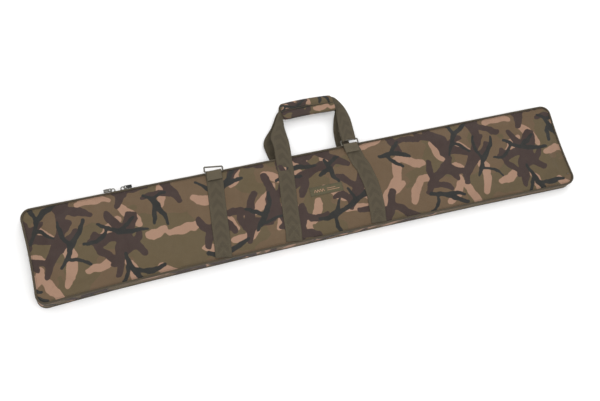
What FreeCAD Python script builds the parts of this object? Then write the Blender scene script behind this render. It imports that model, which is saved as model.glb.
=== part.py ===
"""Long padded carry case with a zipped front panel, webbing handles and two strap rings.

The case lies on its back. X runs along its length, Y towards the handle edge and Z up, out of the
front panel. The origin is the centre of the rear panel's flat face. All sizes are in millimetres.
"""

import FreeCAD, Part
import math
import os
import Sketcher

document = FreeCAD.newDocument("CarryCase")
sizes = document.addObject("Spreadsheet::Sheet", "Sizes")
Vector = FreeCAD.Vector

DIMENSIONS = {
    # whole case
    "half_length": 860,
    "half_width": 140,
    "corner_radius": 32,
    "zip_height": 46,
    # cloth, padding and walls
    "cloth": 0.8,
    "rear_foam": 6.5,
    "lining": 0.7,
    "wall": 4,
    "wall_inset": 1,
    "piping_radius": 3.2,
    "rear_piping_height": 5.2,
    "front_piping_height": 54.6,
    "panel_inset": 6.6,
    # front panel, crowned by a wide bevel
    "lid_base": 48,
    "lid_edge": 54.2,
    "crown_rise": 7.2,
    "crown_run": 24,
    # zip
    "tape_inset": 2.6,
    "tape": 1,
    "coil_inset": 1.7,
    "coil_depth": 2.8,
    "coil_gap": 1.2,
    "coil_width": 2.3,
    "zip_opening": 9,
    "zip_end": 102,
    "slider_length": 14,
    "slider_width": 8,
    "slider_plate": 1.3,
    "slider_clearance": 0.3,
    "slider_left_place": -583,
    "slider_right_place": -567,
    "pull_length": 32,
    "pull_width": 7,
    "pull_thickness": 1.6,
    "pull_pin_radius": 0.9,
    # webbing
    "webbing": 1.5,
    "webbing_width": 50,
    "soft_gap": 0.3,
    "lean_allowance": 4,
    "strap_end": 131,
    "strap_left_place": -307,
    "strap_left_lean": 7.5,
    "strap_middle_place": -87,
    "strap_middle_lean": 8.2,
    "strap_middle_end": 100,
    "strap_right_place": 168,
    "strap_right_lean": -3.3,
    "channel_side": 0.5,
    # rings and the tabs that hold them
    "wire_radius": 2.4,
    "ring_width": 60,
    "ring_height": 20,
    "ring_corner": 3,
    "ring_axis": 137.4,
    "ring_left_place": -289,
    "ring_right_place": 152,
    "tab_width": 46,
    "tab_end": 84,
    # handle
    "handle_root": 175,
    "handle_slope": 12,
    "handle_height": 60.2,
    "rear_root": 150,
    "rear_slope": 10,
    "grip_left": -28,
    "grip_right": 136,
    "grip_centre": 121,
    "grip_band": 46,
    "rear_grip_band": 42,
    "grip_drop": 4.5,
    "wrap_half": 27.5,
    "wrap_top": 7.2,
    "wrap_mouth": 8,
    "wrap_cloth": 1.5,
    "grip_pad": 3.5,
    # label
    "label_left": -17,
    "label_right": 91,
    "label_low": -2,
    "label_high": 26,
}

for row, (alias, value) in enumerate(DIMENSIONS.items(), start=1):
    sizes.set(f"A{row}", alias)
    sizes.set(f"B{row}", str(value))
    sizes.setAlias(f"B{row}", alias)
document.recompute()

made = []
scratch = document.addObject("Spreadsheet::Sheet", "Scratch")
known = {}


def linked(expression):
    """Point each alias of an expression at the sizes sheet."""
    words = []
    word = ""
    for letter in expression + " ":
        if letter.isalnum() or letter == "_":
            word += letter
            continue
        words.append("Sizes." + word if word in DIMENSIONS else word)
        words.append(letter)
        word = ""
    return "".join(words).strip()


def size(expression):
    """Value of an expression in the sheet's aliases, for a sketch's first guess and for edge picking.

    A scratch cell works it out, so that code and sketches never disagree.
    """
    if expression not in known:
        scratch.set("A1", "=" + linked(expression))
        scratch.recompute()
        value = scratch.get("A1")
        known[expression] = float(getattr(value, "Value", value))
    return known[expression]


def drive(thing, prop, expression):
    thing.setExpression(prop, linked(str(expression)))


def body(label):
    """A PartDesign body that becomes a node of its own."""
    made_body = document.addObject("PartDesign::Body", label)
    made_body.Label = label
    made.append(made_body)
    return made_body


def plane(owner, role):
    return next(o for o in owner.Origin.OriginFeatures if o.Role == role)


def sketch_on(owner, role, height=None):
    """An empty sketch on one of the body's own planes, lifted along the plane's normal."""
    sketch = owner.newObject("Sketcher::SketchObject", owner.Label + "_sketch")
    sketch.AttachmentSupport = [(plane(owner, role), "")]
    sketch.MapMode = "FlatFace"
    if height is not None:
        drive(sketch, "AttachmentOffset.Base.z", height)
    return sketch


def polygon(owner, role, points, height=None):
    """A closed polygon whose corners are each held by two driven distances from the origin."""
    sketch = sketch_on(owner, role, height)
    places = [Vector(size(x), size(y), 0) for x, y in points]
    count = len(places)
    for i in range(count):
        sketch.addGeometry(Part.LineSegment(places[i], places[(i + 1) % count]), False)
    for i in range(count):
        sketch.addConstraint(Sketcher.Constraint("Coincident", i, 2, (i + 1) % count, 1))
    for i, (x, y) in enumerate(points):
        for kind, expression, value in (("DistanceX", x, places[i].x), ("DistanceY", y, places[i].y)):
            index = sketch.addConstraint(Sketcher.Constraint(kind, -1, 1, i, 1, value))
            drive(sketch, f"Constraints[{index}]", expression)
    return sketch


def circle(owner, role, x, y, radius, height=None):
    """A circle with a driven centre and radius."""
    sketch = sketch_on(owner, role, height)
    sketch.addGeometry(Part.Circle(Vector(size(x), size(y), 0), Vector(0, 0, 1), size(radius)), False)
    across = sketch.addConstraint(Sketcher.Constraint("DistanceX", -1, 1, 0, 3, size(x)))
    along = sketch.addConstraint(Sketcher.Constraint("DistanceY", -1, 1, 0, 3, size(y)))
    round_size = sketch.addConstraint(Sketcher.Constraint("Radius", 0, size(radius)))
    drive(sketch, f"Constraints[{across}]", x)
    drive(sketch, f"Constraints[{along}]", y)
    drive(sketch, f"Constraints[{round_size}]", radius)
    return sketch


def pad(owner, sketch, length, symmetric=False):
    feature = owner.newObject("PartDesign::Pad", owner.Label + "_pad")
    feature.Profile = sketch
    feature.SideType = "Symmetric" if symmetric else "One side"
    drive(feature, "Length", length)
    document.recompute()
    return feature


def pocket(owner, sketch, length, symmetric=False, reverse=False):
    """Cut a profile out of the body and check that it really removes material."""
    before = owner.Shape.Volume
    feature = owner.newObject("PartDesign::Pocket", owner.Label + "_pocket")
    feature.Profile = sketch
    feature.SideType = "Symmetric" if symmetric else "One side"
    feature.Reversed = reverse
    drive(feature, "Length", length)
    document.recompute()
    if owner.Shape.Volume > before - 0.01:
        raise ValueError(owner.Label + ": a pocket cuts nothing")
    return feature


def upright_edges(shape, wanted):
    """Names of the edges parallel to Z whose middle passes the test."""
    names = []
    for number, edge in enumerate(shape.Edges, start=1):
        ends = [vertex.Point for vertex in edge.Vertexes]
        if len(ends) == 2 and abs(ends[0].z - ends[1].z) > 0.1:
            if abs(ends[0].x - ends[1].x) < 0.01 and abs(ends[0].y - ends[1].y) < 0.01:
                if wanted(ends[0].x, ends[0].y):
                    names.append(f"Edge{number}")
    return names


def round_corners(owner, base, radius, wanted=lambda x, y: True):
    fillet = owner.newObject("PartDesign::Fillet", owner.Label + "_corners")
    fillet.Base = (base, upright_edges(base.Shape, wanted))
    drive(fillet, "Radius", radius)
    document.recompute()
    return fillet


def rectangle(x0, x1, y0, y1):
    return [(x0, y0), (x1, y0), (x1, y1), (x0, y1)]


def rounded_slab(owner, inset, low, height):
    """A flat slab with the case's rounded outline, moved in by an inset."""
    reach_x = f"(half_length - {inset})"
    reach_y = f"(half_width - {inset})"
    outline = rectangle(f"-{reach_x}", reach_x, f"-{reach_y}", reach_y)
    slab = pad(owner, polygon(owner, "XY_Plane", outline, low), height)
    return round_corners(owner, slab, f"corner_radius - {inset}")


def channel(owner, inset, thick, low, height, mouth, closed_side):
    """A wall with two rounded corners: a straight run and the two turns at its ends.

    closed_side is +1 where the run is on the +Y side and -1 where it is on the -Y side, and mouth is
    the Y at which the turned ends stop.
    """
    x_out = f"(half_length - {inset})"
    y_out = f"(half_width - {inset})"
    far = y_out if closed_side > 0 else f"-{y_out}"
    outline = rectangle(f"-{x_out}", x_out, *((mouth, far) if closed_side > 0 else (far, mouth)))
    pad(owner, polygon(owner, "XY_Plane", outline, low), height)
    x_in = f"({x_out} - {thick})"
    y_in = f"({y_out} - {thick})"
    far_in = y_in if closed_side > 0 else f"-{y_in}"
    beyond = f"({mouth} - 5)" if closed_side > 0 else f"({mouth} + 5)"
    hollow = rectangle(f"-{x_in}", x_in, *((beyond, far_in) if closed_side > 0 else (far_in, beyond)))
    cut = pocket(owner, polygon(owner, "XY_Plane", hollow, low), height, reverse=True)
    # The inner corners are rounded first, while the outer ones still have room for them.
    turned = cut
    for corner_y, corner_x, radius in (
        (size(far_in), size(x_in), f"corner_radius - {inset} - {thick}"),
        (size(far), size(x_out), f"corner_radius - {inset}"),
    ):
        turned = round_corners(
            owner,
            turned,
            radius,
            lambda x, y: abs(y - corner_y) < 0.01 and abs(abs(x) - corner_x) < 0.01,
        )


def lean(owner, degrees, x, y="0"):
    """Turn a body about Z, clockwise for a positive angle, and move it to its place."""
    turn = FreeCAD.Rotation(Vector(0, 0, 1), -size(degrees))
    owner.Placement = FreeCAD.Placement(Vector(size(x), size(y), 0), turn)


# ---------------------------------------------------------------- rear panel and walls


def rear_panel():
    """Cloth with two pressed channels for the rear webbing, then foam and lining."""
    channel_half = "(webbing_width / 2 + channel_side)"
    channel_top = "(webbing + soft_gap)"
    for label in ("rear_panel_cloth", "rear_panel_foam"):
        panel = body(label)
        if label == "rear_panel_cloth":
            rounded_slab(panel, "panel_inset", "0", "cloth")
        else:
            rounded_slab(panel, "panel_inset", "cloth", "rear_foam")
        for place in ("strap_middle_place", "strap_right_place"):
            skin = f"({channel_half} + cloth)"
            wide = rectangle(
                f"{place} - {skin}",
                f"{place} + {skin}",
                "-(half_width - panel_inset)",
                "half_width - panel_inset",
            )
            if label == "rear_panel_cloth":
                pad(panel, polygon(panel, "XY_Plane", wide, "0"), f"{channel_top} + cloth")
                narrow = rectangle(
                    f"{place} - {channel_half}", f"{place} + {channel_half}", "-half_width", "half_width"
                )
                pocket(panel, polygon(panel, "XY_Plane", narrow, "0"), channel_top, reverse=True)
            else:
                pocket(panel, polygon(panel, "XY_Plane", wide, "cloth"), channel_top, reverse=True)
    lining = body("rear_panel_lining")
    rounded_slab(lining, "panel_inset", "cloth + rear_foam", "lining")


def gusset_walls():
    """Four walls: the top and the two ends stop under the zip, and the bottom one reaches the fold."""
    low = "(rear_piping_height + piping_radius + soft_gap)"
    straight = "(half_width - corner_radius - 2)"
    top = body("gusset_top")
    channel(top, "wall_inset", "wall", low, f"zip_height - zip_opening - {low}", straight, 1)
    bottom = body("gusset_bottom")
    channel(bottom, "wall_inset", "wall", low, f"zip_height - 0.5 - {low}", f"-{straight}", -1)
    out = "(half_length - wall_inset)"
    ends = {
        "gusset_left": (f"-{out}", f"-({out} - wall)"),
        "gusset_right": (f"{out} - wall", out),
    }
    for label, (x0, x1) in ends.items():
        end = body(label)
        outline = rectangle(x0, x1, f"-{straight} + 0.1", f"{straight} - 0.1")
        pad(end, polygon(end, "XY_Plane", outline, low), f"zip_height - zip_opening - {low}")


def swept_cord(label, height):
    """The piping: a circle swept along the case's rounded outline."""
    radius = size("piping_radius")
    x = size("half_length - piping_radius")
    y = size("half_width - piping_radius")
    bend = size("corner_radius - piping_radius")
    level = size(height)
    path = rounded_path(x, y, bend, level)
    section = Part.Wire([Part.Circle(Vector(0, -y, level), Vector(1, 0, 0), radius).toShape()])
    cord = document.addObject("Part::Feature", label)
    cord.Shape = path.makePipeShell([section], True, True)
    cord.Placement = FreeCAD.Placement()
    cord.Label = label
    made.append(cord)


def rounded_path(x, y, bend, level):
    """A rounded rectangle of lines and arcs that starts in the middle of its -Y side."""
    edges = []
    corners = [(x, -y, -90), (x, y, 0), (-x, y, 90), (-x, -y, 180)]
    here = Vector(0, -y, level)
    for corner_x, corner_y, start in corners:
        centre_x = corner_x - math.copysign(bend, corner_x)
        centre_y = corner_y - math.copysign(bend, corner_y)
        centre = Vector(centre_x, centre_y, level)
        on_arc = [centre + Vector(bend * math.cos(a), bend * math.sin(a), 0) for a in turn_angles(start)]
        edges.append(Part.makeLine(here, on_arc[0]))
        edges.append(Part.Arc(*on_arc).toShape())
        here = on_arc[2]
    edges.append(Part.makeLine(here, Vector(0, -y, level)))
    return Part.Wire(edges)


def turn_angles(start):
    return [math.radians(start + step) for step in (0, 45, 90)]


# ---------------------------------------------------------------- front panel


def crowned_slab(owner, inset, low, edge, rise):
    """A rounded slab whose top edge falls away in a wide bevel, as a filled panel does."""
    rounded = rounded_slab(owner, inset, low, f"{edge} + {rise} - ({low})")
    top = size(f"{edge} + {rise}")
    flat = next(f for f in rounded.Shape.Faces if f.BoundBox.ZMin > top - 0.01)
    number = next(i for i, f in enumerate(rounded.Shape.Faces, start=1) if f.isSame(flat))
    bevel = owner.newObject("PartDesign::Chamfer", owner.Label + "_crown")
    bevel.Base = (rounded, [f"Face{number}"])
    bevel.ChamferType = "Two distances"
    drive(bevel, "Size", rise)
    drive(bevel, "Size2", "crown_run")
    document.recompute()
    return bevel


def front_panel():
    """Crowned foam, the cloth that covers its top and sides, and the lining under it."""
    foam = body("front_panel_foam")
    crowned_slab(foam, "(panel_inset + cloth)", "lid_base + lining", "lid_edge - cloth", "crown_rise")
    skin = body("front_panel_skin_block")
    crowned_slab(skin, "panel_inset", "lid_base + lining", "lid_edge", "crown_rise")
    made.remove(skin)
    cloth = document.addObject("Part::Cut", "front_panel_cloth")
    cloth.Base = skin
    cloth.Tool = foam
    cloth.Label = "front_panel_cloth"
    made.append(cloth)
    lining = body("front_panel_lining")
    rounded_slab(lining, "panel_inset", "lid_base", "lining")


def hinge_gusset():
    """The strip of gusset between the fold line and the front piping."""
    strip = body("hinge_gusset")
    reach = "(half_length - corner_radius)"
    outline = rectangle(f"-{reach}", reach, "-(half_width - 1)", "-(half_width - 3)")
    bottom = "(zip_height + 0.5)"
    strip_height = f"front_piping_height - piping_radius - 0.3 - {bottom}"
    pad(strip, polygon(strip, "XY_Plane", outline, bottom), strip_height)


# ---------------------------------------------------------------- zip


def zip_halves():
    """Tape and coil on each side of the opening, along the top edge and round both ends."""
    end = "-zip_end"
    rear_tape_low = "(zip_height - zip_opening)"
    coil_low = "(zip_height - coil_gap - coil_width)"
    coil_high = "(zip_height + coil_gap + coil_width)"
    piping_low = "(front_piping_height - piping_radius - 0.1)"
    tapes = {
        "zip_tape_rear": (rear_tape_low, f"{coil_low} - {rear_tape_low}"),
        "zip_tape_front": (coil_high, f"{piping_low} - {coil_high}"),
    }
    for label, (low, height) in tapes.items():
        tape = body(label)
        channel(tape, "tape_inset", "tape", low, height, end, 1)
    coils = {"zip_coil_rear": coil_low, "zip_coil_front": "(zip_height + coil_gap)"}
    for label, low in coils.items():
        coil = body(label)
        channel(coil, "coil_inset", "coil_depth", low, "coil_width", end, 1)


def zip_stops():
    """A small metal stop at each end of the rear coil."""
    out = "(half_length - coil_inset)"
    places = {
        "zip_stop_left": (f"-{out}", f"-({out} - coil_depth)"),
        "zip_stop_right": (f"{out} - coil_depth", out),
    }
    for label, (x0, x1) in places.items():
        stop = body(label)
        low = "(zip_height - coil_gap - coil_width)"
        outline = rectangle(x0, x1, "-zip_end - 3.2", "-zip_end - 0.2")
        pad(stop, polygon(stop, "XY_Plane", outline, low), "coil_width")


def zip_slider(label, place):
    """Two plates joined by a neck between the coils, with an eye for the pull on the outer plate."""
    slider = body(label)
    outer = "(half_width - coil_inset + slider_clearance)"
    inner = "(half_width - coil_inset - coil_depth - slider_clearance)"
    x0 = f"{place} - slider_length / 2"
    x1 = f"{place} + slider_length / 2"
    whole = rectangle(x0, x1, f"{inner} - slider_plate", f"{outer} + slider_plate")
    block = pad(slider, polygon(slider, "XY_Plane", whole, "zip_height"), "slider_width", True)
    round_corners(slider, block, "0.6")
    neck = "(coil_gap - slider_clearance)"
    for low, high in ((neck, "(slider_width / 2 + 1)"), ("-(slider_width / 2 + 1)", f"-{neck}")):
        slot = rectangle(inner, outer, f"zip_height + {low}", f"zip_height + {high}")
        # Seen along X, the plates stay and the two slots for the coils go.
        pocket(slider, polygon(slider, "YZ_Plane", slot, place), "slider_length + 2", True)
    trim = "(slider_length / 2 - 5)"
    for a, b in ((x0 + " - 1", f"{place} - {trim}"), (f"{place} + {trim}", x1 + " + 1")):
        gap = rectangle(a, b, inner, outer)
        pocket(slider, polygon(slider, "XY_Plane", gap, "zip_height"), f"2 * {neck} + 0.2", True)
    eye_start = f"{outer} + slider_plate"
    eye = rectangle(f"{place} - 3", f"{place} + 3", eye_start, f"{eye_start} + 3.2")
    pad(slider, polygon(slider, "XY_Plane", eye, "zip_height"), "3", True)
    pin_y = f"({outer} + slider_plate + 1.6)"
    hole = circle(slider, "XY_Plane", place, pin_y, "pull_pin_radius + 0.2", "zip_height")
    pocket(slider, hole, "slider_width", True)
    return pin_y


def zip_pull(label, place, side):
    """A flat pull with a forked end and a pin through the slider's eye; side is the way it lies."""
    pull = body(label)
    outer = "(half_width - coil_inset + slider_clearance)"
    pin_y = f"({outer} + slider_plate + 1.6)"
    half = "(pull_thickness / 2)"
    ends = [f"({place} + ({side}) * {x})" for x in ("0.9", "pull_length")]
    if side < 0:
        ends.reverse()
    tab = rectangle(ends[0], ends[1], f"{pin_y} - {half}", f"{pin_y} + {half}")
    pad(pull, polygon(pull, "XY_Plane", tab, "zip_height"), "pull_width", True)
    fork = [f"({place} + ({side}) * {x})" for x in ("(-1)", "6.5")]
    if side < 0:
        fork.reverse()
    clear = rectangle(fork[0], fork[1], f"{pin_y} - 3", f"{pin_y} + 3")
    pocket(pull, polygon(pull, "XY_Plane", clear, "zip_height"), "3.8", True)
    pin = circle(pull, "XY_Plane", place, pin_y, "pull_pin_radius", "zip_height")
    pad(pull, pin, "pull_width", True)


# ---------------------------------------------------------------- webbing on the panels


KNEE = "(half_width - panel_inset - crown_run + lean_allowance)"


def panel_top(y):
    """Height, as an expression, at which a leaning strip still clears the front panel's bevel."""
    return f"(lid_edge + crown_rise * (half_width - panel_inset + lean_allowance - {y}) / crown_run)"


def bent_strip(owner, low_end, high_end, lift, thick, width):
    """A strip that follows the panel across its flat middle and down its bevels.

    high_end is the strip's upper end and whether it reaches down the bevel there.
    """
    flat = "(lid_edge + crown_rise)"
    under = [(f"-{low_end}", panel_top(low_end)), (f"-{KNEE}", flat)]
    if high_end[1]:
        under.append((KNEE, flat))
        under.append((high_end[0], panel_top(high_end[0])))
    else:
        under.append((high_end[0], flat))
    upper = [(y, f"{z} + {lift} + {thick}") for y, z in reversed(under)]
    lower = [(y, f"{z} + {lift}") for y, z in under]
    pad(owner, polygon(owner, "YZ_Plane", lower + upper), width, True)


def front_straps():
    """Three webbing straps sewn down the front panel."""
    straps = {
        "front_strap_left": ("strap_left_place", "strap_left_lean", ("strap_end", True)),
        "front_strap_middle": ("strap_middle_place", "strap_middle_lean", ("strap_middle_end", False)),
        "front_strap_right": ("strap_right_place", "strap_right_lean", ("strap_end", True)),
    }
    for label, (place, angle, end) in straps.items():
        strap = body(label)
        bent_strip(strap, "strap_end", end, "soft_gap", "webbing", "webbing_width")
        lean(strap, angle, place)


def rear_straps():
    """Two webbing straps in the rear panel's channels, flush with the floor."""
    places = {"rear_strap_left": "strap_middle_place", "rear_strap_right": "strap_right_place"}
    for label, place in places.items():
        strap = body(label)
        half = "webbing_width / 2"
        top_end = "half_width - panel_inset"
        outline = rectangle(f"{place} - {half}", f"{place} + {half}", "-strap_end", top_end)
        pad(strap, polygon(strap, "XY_Plane", outline, "0"), "webbing")


def ring_height():
    """Height of a ring's lower bar, which its tab holds just clear of the front piping."""
    return "(front_piping_height + piping_radius + webbing + 2 * soft_gap + wire_radius)"


def ring_tab(label, place, angle):
    """A short webbing tab folded round a ring's lower bar and sewn over the strap."""
    tab = body(label)
    bore = "(wire_radius + soft_gap)"
    flat = "(lid_edge + crown_rise + webbing + 3 * soft_gap)"
    under_bar = f"({ring_height()} - {bore} - webbing + soft_gap)"
    lower = [("tab_end", flat), (KNEE, flat), ("(ring_axis - 1)", under_bar)]
    outline = lower + [(y, f"{z} + 2 * webbing") for y, z in reversed(lower)]
    shifted = [(f"{y} - ring_axis", z) for y, z in outline]
    pad(tab, polygon(tab, "YZ_Plane", shifted), "tab_width", True)
    pad(tab, circle(tab, "YZ_Plane", "0", ring_height(), f"{bore} + webbing"), "tab_width", True)
    pocket(tab, circle(tab, "YZ_Plane", "0", ring_height(), bore), "tab_width + 2", True)
    lean(tab, angle, place, "ring_axis")


def wire_ring(label, place, angle):
    """A rectangular ring bent from round wire, its lower bar on the ring axis."""
    wire = size("wire_radius")
    half = size("ring_width / 2 - wire_radius")
    rise = size("ring_height - 2 * wire_radius")
    bend = size("ring_corner")
    level = size(ring_height())
    edges = []
    here = Vector(0, 0, level)
    corners = ((half, 0, -90), (half, rise, 0), (-half, rise, 90), (-half, 0, 180))
    for corner_x, corner_y, start in corners:
        centre_y = corner_y + (bend if corner_y == 0 else -bend)
        centre = Vector(corner_x - math.copysign(bend, corner_x), centre_y, level)
        on_arc = [centre + Vector(bend * math.cos(a), bend * math.sin(a), 0) for a in turn_angles(start)]
        edges.append(Part.makeLine(here, on_arc[0]))
        edges.append(Part.Arc(*on_arc).toShape())
        here = on_arc[2]
    edges.append(Part.makeLine(here, Vector(0, 0, level)))
    section = Part.Wire([Part.Circle(Vector(0, 0, level), Vector(1, 0, 0), wire).toShape()])
    ring = document.addObject("Part::Feature", label)
    ring.Shape = Part.Wire(edges).makePipeShell([section], True, True)
    turn = FreeCAD.Rotation(Vector(0, 0, 1), -size(angle))
    ring.Placement = FreeCAD.Placement(Vector(size(place), size("ring_axis"), 0), turn)
    ring.Label = label
    made.append(ring)


# ---------------------------------------------------------------- handle


def tilt(owner, y, z, degrees):
    """Set a flat piece, drawn from its own root line, at a slope about X."""
    turn = FreeCAD.Rotation(Vector(1, 0, 0), size(degrees))
    owner.Placement = FreeCAD.Placement(Vector(0, size(y), size(z)), turn)


def flat_leg(label, outline, low="0", thick="webbing"):
    leg = body(label)
    pad(leg, polygon(leg, "XY_Plane", outline, low), thick)
    return leg


def front_handle():
    """Front webbing in one sloping plane: two legs, the grip stretch and the wrap round it."""
    inner = "(grip_centre - grip_band / 2)"
    outer = "(grip_centre + grip_band / 2)"
    left = [
        ("-90", "0.3"),
        ("-40", "0.3"),
        ("grip_left - 0.3", inner),
        ("grip_left - 0.3", outer),
        ("-44", "112"),
    ]
    left += [("-86", "36")]
    leg_left = flat_leg("handle_front_left_leg", left)
    tilt(leg_left, "handle_root", "handle_height", "-handle_slope")

    right = [
        ("130", "-21"),
        ("174", "-21"),
        ("180", "14"),
        ("176", "62"),
        ("160", "108"),
        ("grip_right + 0.3", outer),
    ]
    right += [("grip_right + 0.3", inner), ("134", "14")]
    plate = flat_leg("handle_right_plate", right)
    tilt(plate, "handle_root", "handle_height", "-handle_slope")
    made.remove(plate)
    # The leg's lower end is folded round the ring's upper bar.
    bar_y = "(ring_axis + ring_height - 2 * wire_radius)"
    bore = "(wire_radius + soft_gap)"
    loop = document.addObject("Part::Cylinder", "handle_right_loop")
    drive(loop, "Radius", f"{bore} + webbing")
    drive(loop, "Height", "tab_width")
    hole = document.addObject("Part::Cylinder", "handle_right_hole")
    drive(hole, "Radius", bore)
    drive(hole, "Height", "tab_width + 20")
    for cylinder, start in ((loop, "(tab_width / 2)"), (hole, "(tab_width / 2 + 10)")):
        turn = FreeCAD.Rotation(Vector(0, 1, 0), 90)
        place = Vector(size(f"ring_right_place - {start}"), size(bar_y), size(ring_height()))
        cylinder.Placement = FreeCAD.Placement(place, turn)
    joined = document.addObject("Part::Fuse", "handle_right_joined")
    joined.Base = plate
    joined.Tool = loop
    leg_right = document.addObject("Part::Cut", "handle_front_right_leg")
    leg_right.Base = joined
    leg_right.Tool = hole
    leg_right.Label = "handle_front_right_leg"
    made.append(leg_right)

    band = flat_leg("handle_front_grip_band", rectangle("grip_left", "grip_right", inner, outer))
    tilt(band, "handle_root", "handle_height", "-handle_slope")

    padding = flat_leg(
        "grip_padding",
        rectangle(
            "grip_left + 1",
            "grip_right - 1",
            "grip_centre - wrap_half + 2",
            "grip_centre + wrap_half - 2",
        ),
        "webbing + 0.2",
        "grip_pad",
    )
    tilt(padding, "handle_root", "handle_height", "-handle_slope")

    wrap = body("grip_wrap")
    cross = [("grip_centre - wrap_half", "-wrap_mouth"), ("grip_centre - wrap_half", "wrap_top")]
    cross += [("grip_centre + wrap_half", "wrap_top"), ("grip_centre + wrap_half", "-wrap_mouth")]
    inside = ["(wrap_half - wrap_cloth)", "(wrap_top - wrap_cloth)"]
    cross += [(f"grip_centre + {inside[0]}", "-wrap_mouth"), (f"grip_centre + {inside[0]}", inside[1])]
    cross += [(f"grip_centre - {inside[0]}", inside[1]), (f"grip_centre - {inside[0]}", "-wrap_mouth")]
    middle = "((grip_left + grip_right) / 2)"
    pad(wrap, polygon(wrap, "YZ_Plane", cross, middle), "grip_right - grip_left", True)
    tilt(wrap, "handle_root", "handle_height", "-handle_slope")


def rear_handle():
    """Rear webbing: two legs rising from the rear panel and the grip stretch inside the wrap."""
    rise = math.radians(size("rear_slope"))
    drop = math.radians(size("handle_slope"))
    inner = "(grip_centre - rear_grip_band / 2)"
    outer = "(grip_centre + rear_grip_band / 2)"
    grip_band = rectangle("grip_left", "grip_right", inner, outer)
    band = flat_leg("handle_rear_grip_band", grip_band, "-grip_drop")
    tilt(band, "handle_root", "handle_height", "-handle_slope")

    # The legs reach as far as the grip's near edge, measured in their own rising plane.
    near = size("handle_root") + size(inner) * math.cos(drop) - size("rear_root")
    far = size("handle_root") + size(outer) * math.cos(drop) - size("rear_root")
    v_near = round(near / math.cos(rise), 2)
    v_far = round(far / math.cos(rise) - 8, 2)
    left = [
        ("-102", "0.3"),
        ("-52", "0.3"),
        ("-58", "56"),
        ("-34", str(v_near)),
        ("grip_left - 1", str(v_far)),
    ]
    left += [("-44", str(v_far - 6)), ("-108", "62")]
    leg_left = flat_leg("handle_rear_left_leg", left)
    tilt(leg_left, "rear_root", "0.4", "rear_slope")
    right = [
        ("126", "0.3"),
        ("174", "0.3"),
        ("172", "60"),
        ("150", str(v_far - 6)),
        ("grip_right + 1", str(v_far)),
    ]
    right += [("grip_right + 1", str(v_near)), ("128", "50")]
    leg_right = flat_leg("handle_rear_right_leg", right)
    tilt(leg_right, "rear_root", "0.4", "rear_slope")


def handle_roots():
    """Short webbing stretches at the panel edges, which bend as the handle swings."""
    front = body("handle_front_root")
    start = "(lid_edge + crown_rise + soft_gap)"
    lower = [
        ("strap_middle_end + 0.3", start),
        (KNEE, start),
        ("handle_root - 3", "handle_height + 0.6"),
    ]
    outline = lower + [(y, f"{z} + webbing") for y, z in reversed(lower)]
    pad(front, polygon(front, "YZ_Plane", outline), "webbing_width", True)
    lean(front, "strap_middle_lean", "-81")
    rear = {"handle_rear_root_left": ("-102", "-52"), "handle_rear_root_right": ("128", "174")}
    for label, (x0, x1) in rear.items():
        root = body(label)
        outline = rectangle(x0, x1, "half_width - panel_inset + 0.3", "rear_root - 0.3")
        pad(root, polygon(root, "XY_Plane", outline, "0.1"), "webbing")


def blank_label():
    """A plain woven label sewn to the middle of the front panel."""
    label = body("blank_label")
    low = "(lid_edge + crown_rise + soft_gap)"
    outline = rectangle("label_left", "label_right", "label_low", "label_high")
    pad(label, polygon(label, "XY_Plane", outline, low), "cloth")


def write_parts():
    """Check every object and every sub-part, then write one file for each."""
    document.recompute()
    for thing in document.Objects:
        if "Invalid" in thing.State or "Error" in thing.State:
            raise ValueError(f"{thing.Name} failed: {thing.State}")
    os.makedirs("parts", exist_ok=True)
    for thing in made:
        if thing.Shape.isNull() or not thing.Shape.isValid() or not thing.Shape.Solids:
            raise ValueError(f"{thing.Label} has no valid solid")
        thing.Shape.exportStep(f"parts/{thing.Label}.step")
    print(len(made), "parts written")


rear_panel()
gusset_walls()
swept_cord("rear_piping", "rear_piping_height")
front_panel()
hinge_gusset()
swept_cord("front_piping", "front_piping_height")
zip_halves()
zip_stops()
zip_slider("slider_left", "slider_left_place")
zip_slider("slider_right", "slider_right_place")
zip_pull("pull_left", "slider_left_place", -1)
zip_pull("pull_right", "slider_right_place", 1)
front_straps()
rear_straps()
ring_tab("ring_tab_left", "ring_left_place", "strap_left_lean")
ring_tab("ring_tab_right", "ring_right_place", "0")
wire_ring("ring_left", "ring_left_place", "strap_left_lean")
wire_ring("ring_right", "ring_right_place", "0")
front_handle()
rear_handle()
handle_roots()
blank_label()
write_parts()
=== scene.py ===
"""Looks of a long padded carry case in woodland cloth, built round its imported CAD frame.

All lengths are metres in the frame's own axes: X along the case, Y towards the handle, Z up.
"""

import math
import random

import bmesh
import bpy
import numpy as np
from mathutils import Matrix, Vector
from mathutils.bvhtree import BVHTree


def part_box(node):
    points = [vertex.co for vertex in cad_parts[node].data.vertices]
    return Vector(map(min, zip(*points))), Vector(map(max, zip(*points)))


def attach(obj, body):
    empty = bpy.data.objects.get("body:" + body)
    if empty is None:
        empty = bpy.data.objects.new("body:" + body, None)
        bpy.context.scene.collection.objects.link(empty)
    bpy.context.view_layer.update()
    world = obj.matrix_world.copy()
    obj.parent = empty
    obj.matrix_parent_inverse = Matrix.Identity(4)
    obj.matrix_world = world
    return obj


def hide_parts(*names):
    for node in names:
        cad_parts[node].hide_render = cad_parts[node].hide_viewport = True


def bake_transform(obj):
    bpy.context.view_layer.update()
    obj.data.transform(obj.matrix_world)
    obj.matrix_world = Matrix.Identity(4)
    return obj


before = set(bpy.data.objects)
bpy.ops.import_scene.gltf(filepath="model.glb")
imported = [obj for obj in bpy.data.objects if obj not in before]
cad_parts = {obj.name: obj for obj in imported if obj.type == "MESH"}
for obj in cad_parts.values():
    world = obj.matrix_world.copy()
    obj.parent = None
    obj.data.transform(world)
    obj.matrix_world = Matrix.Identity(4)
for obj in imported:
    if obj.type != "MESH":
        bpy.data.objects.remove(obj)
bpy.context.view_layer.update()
scene = bpy.context.scene

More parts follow.
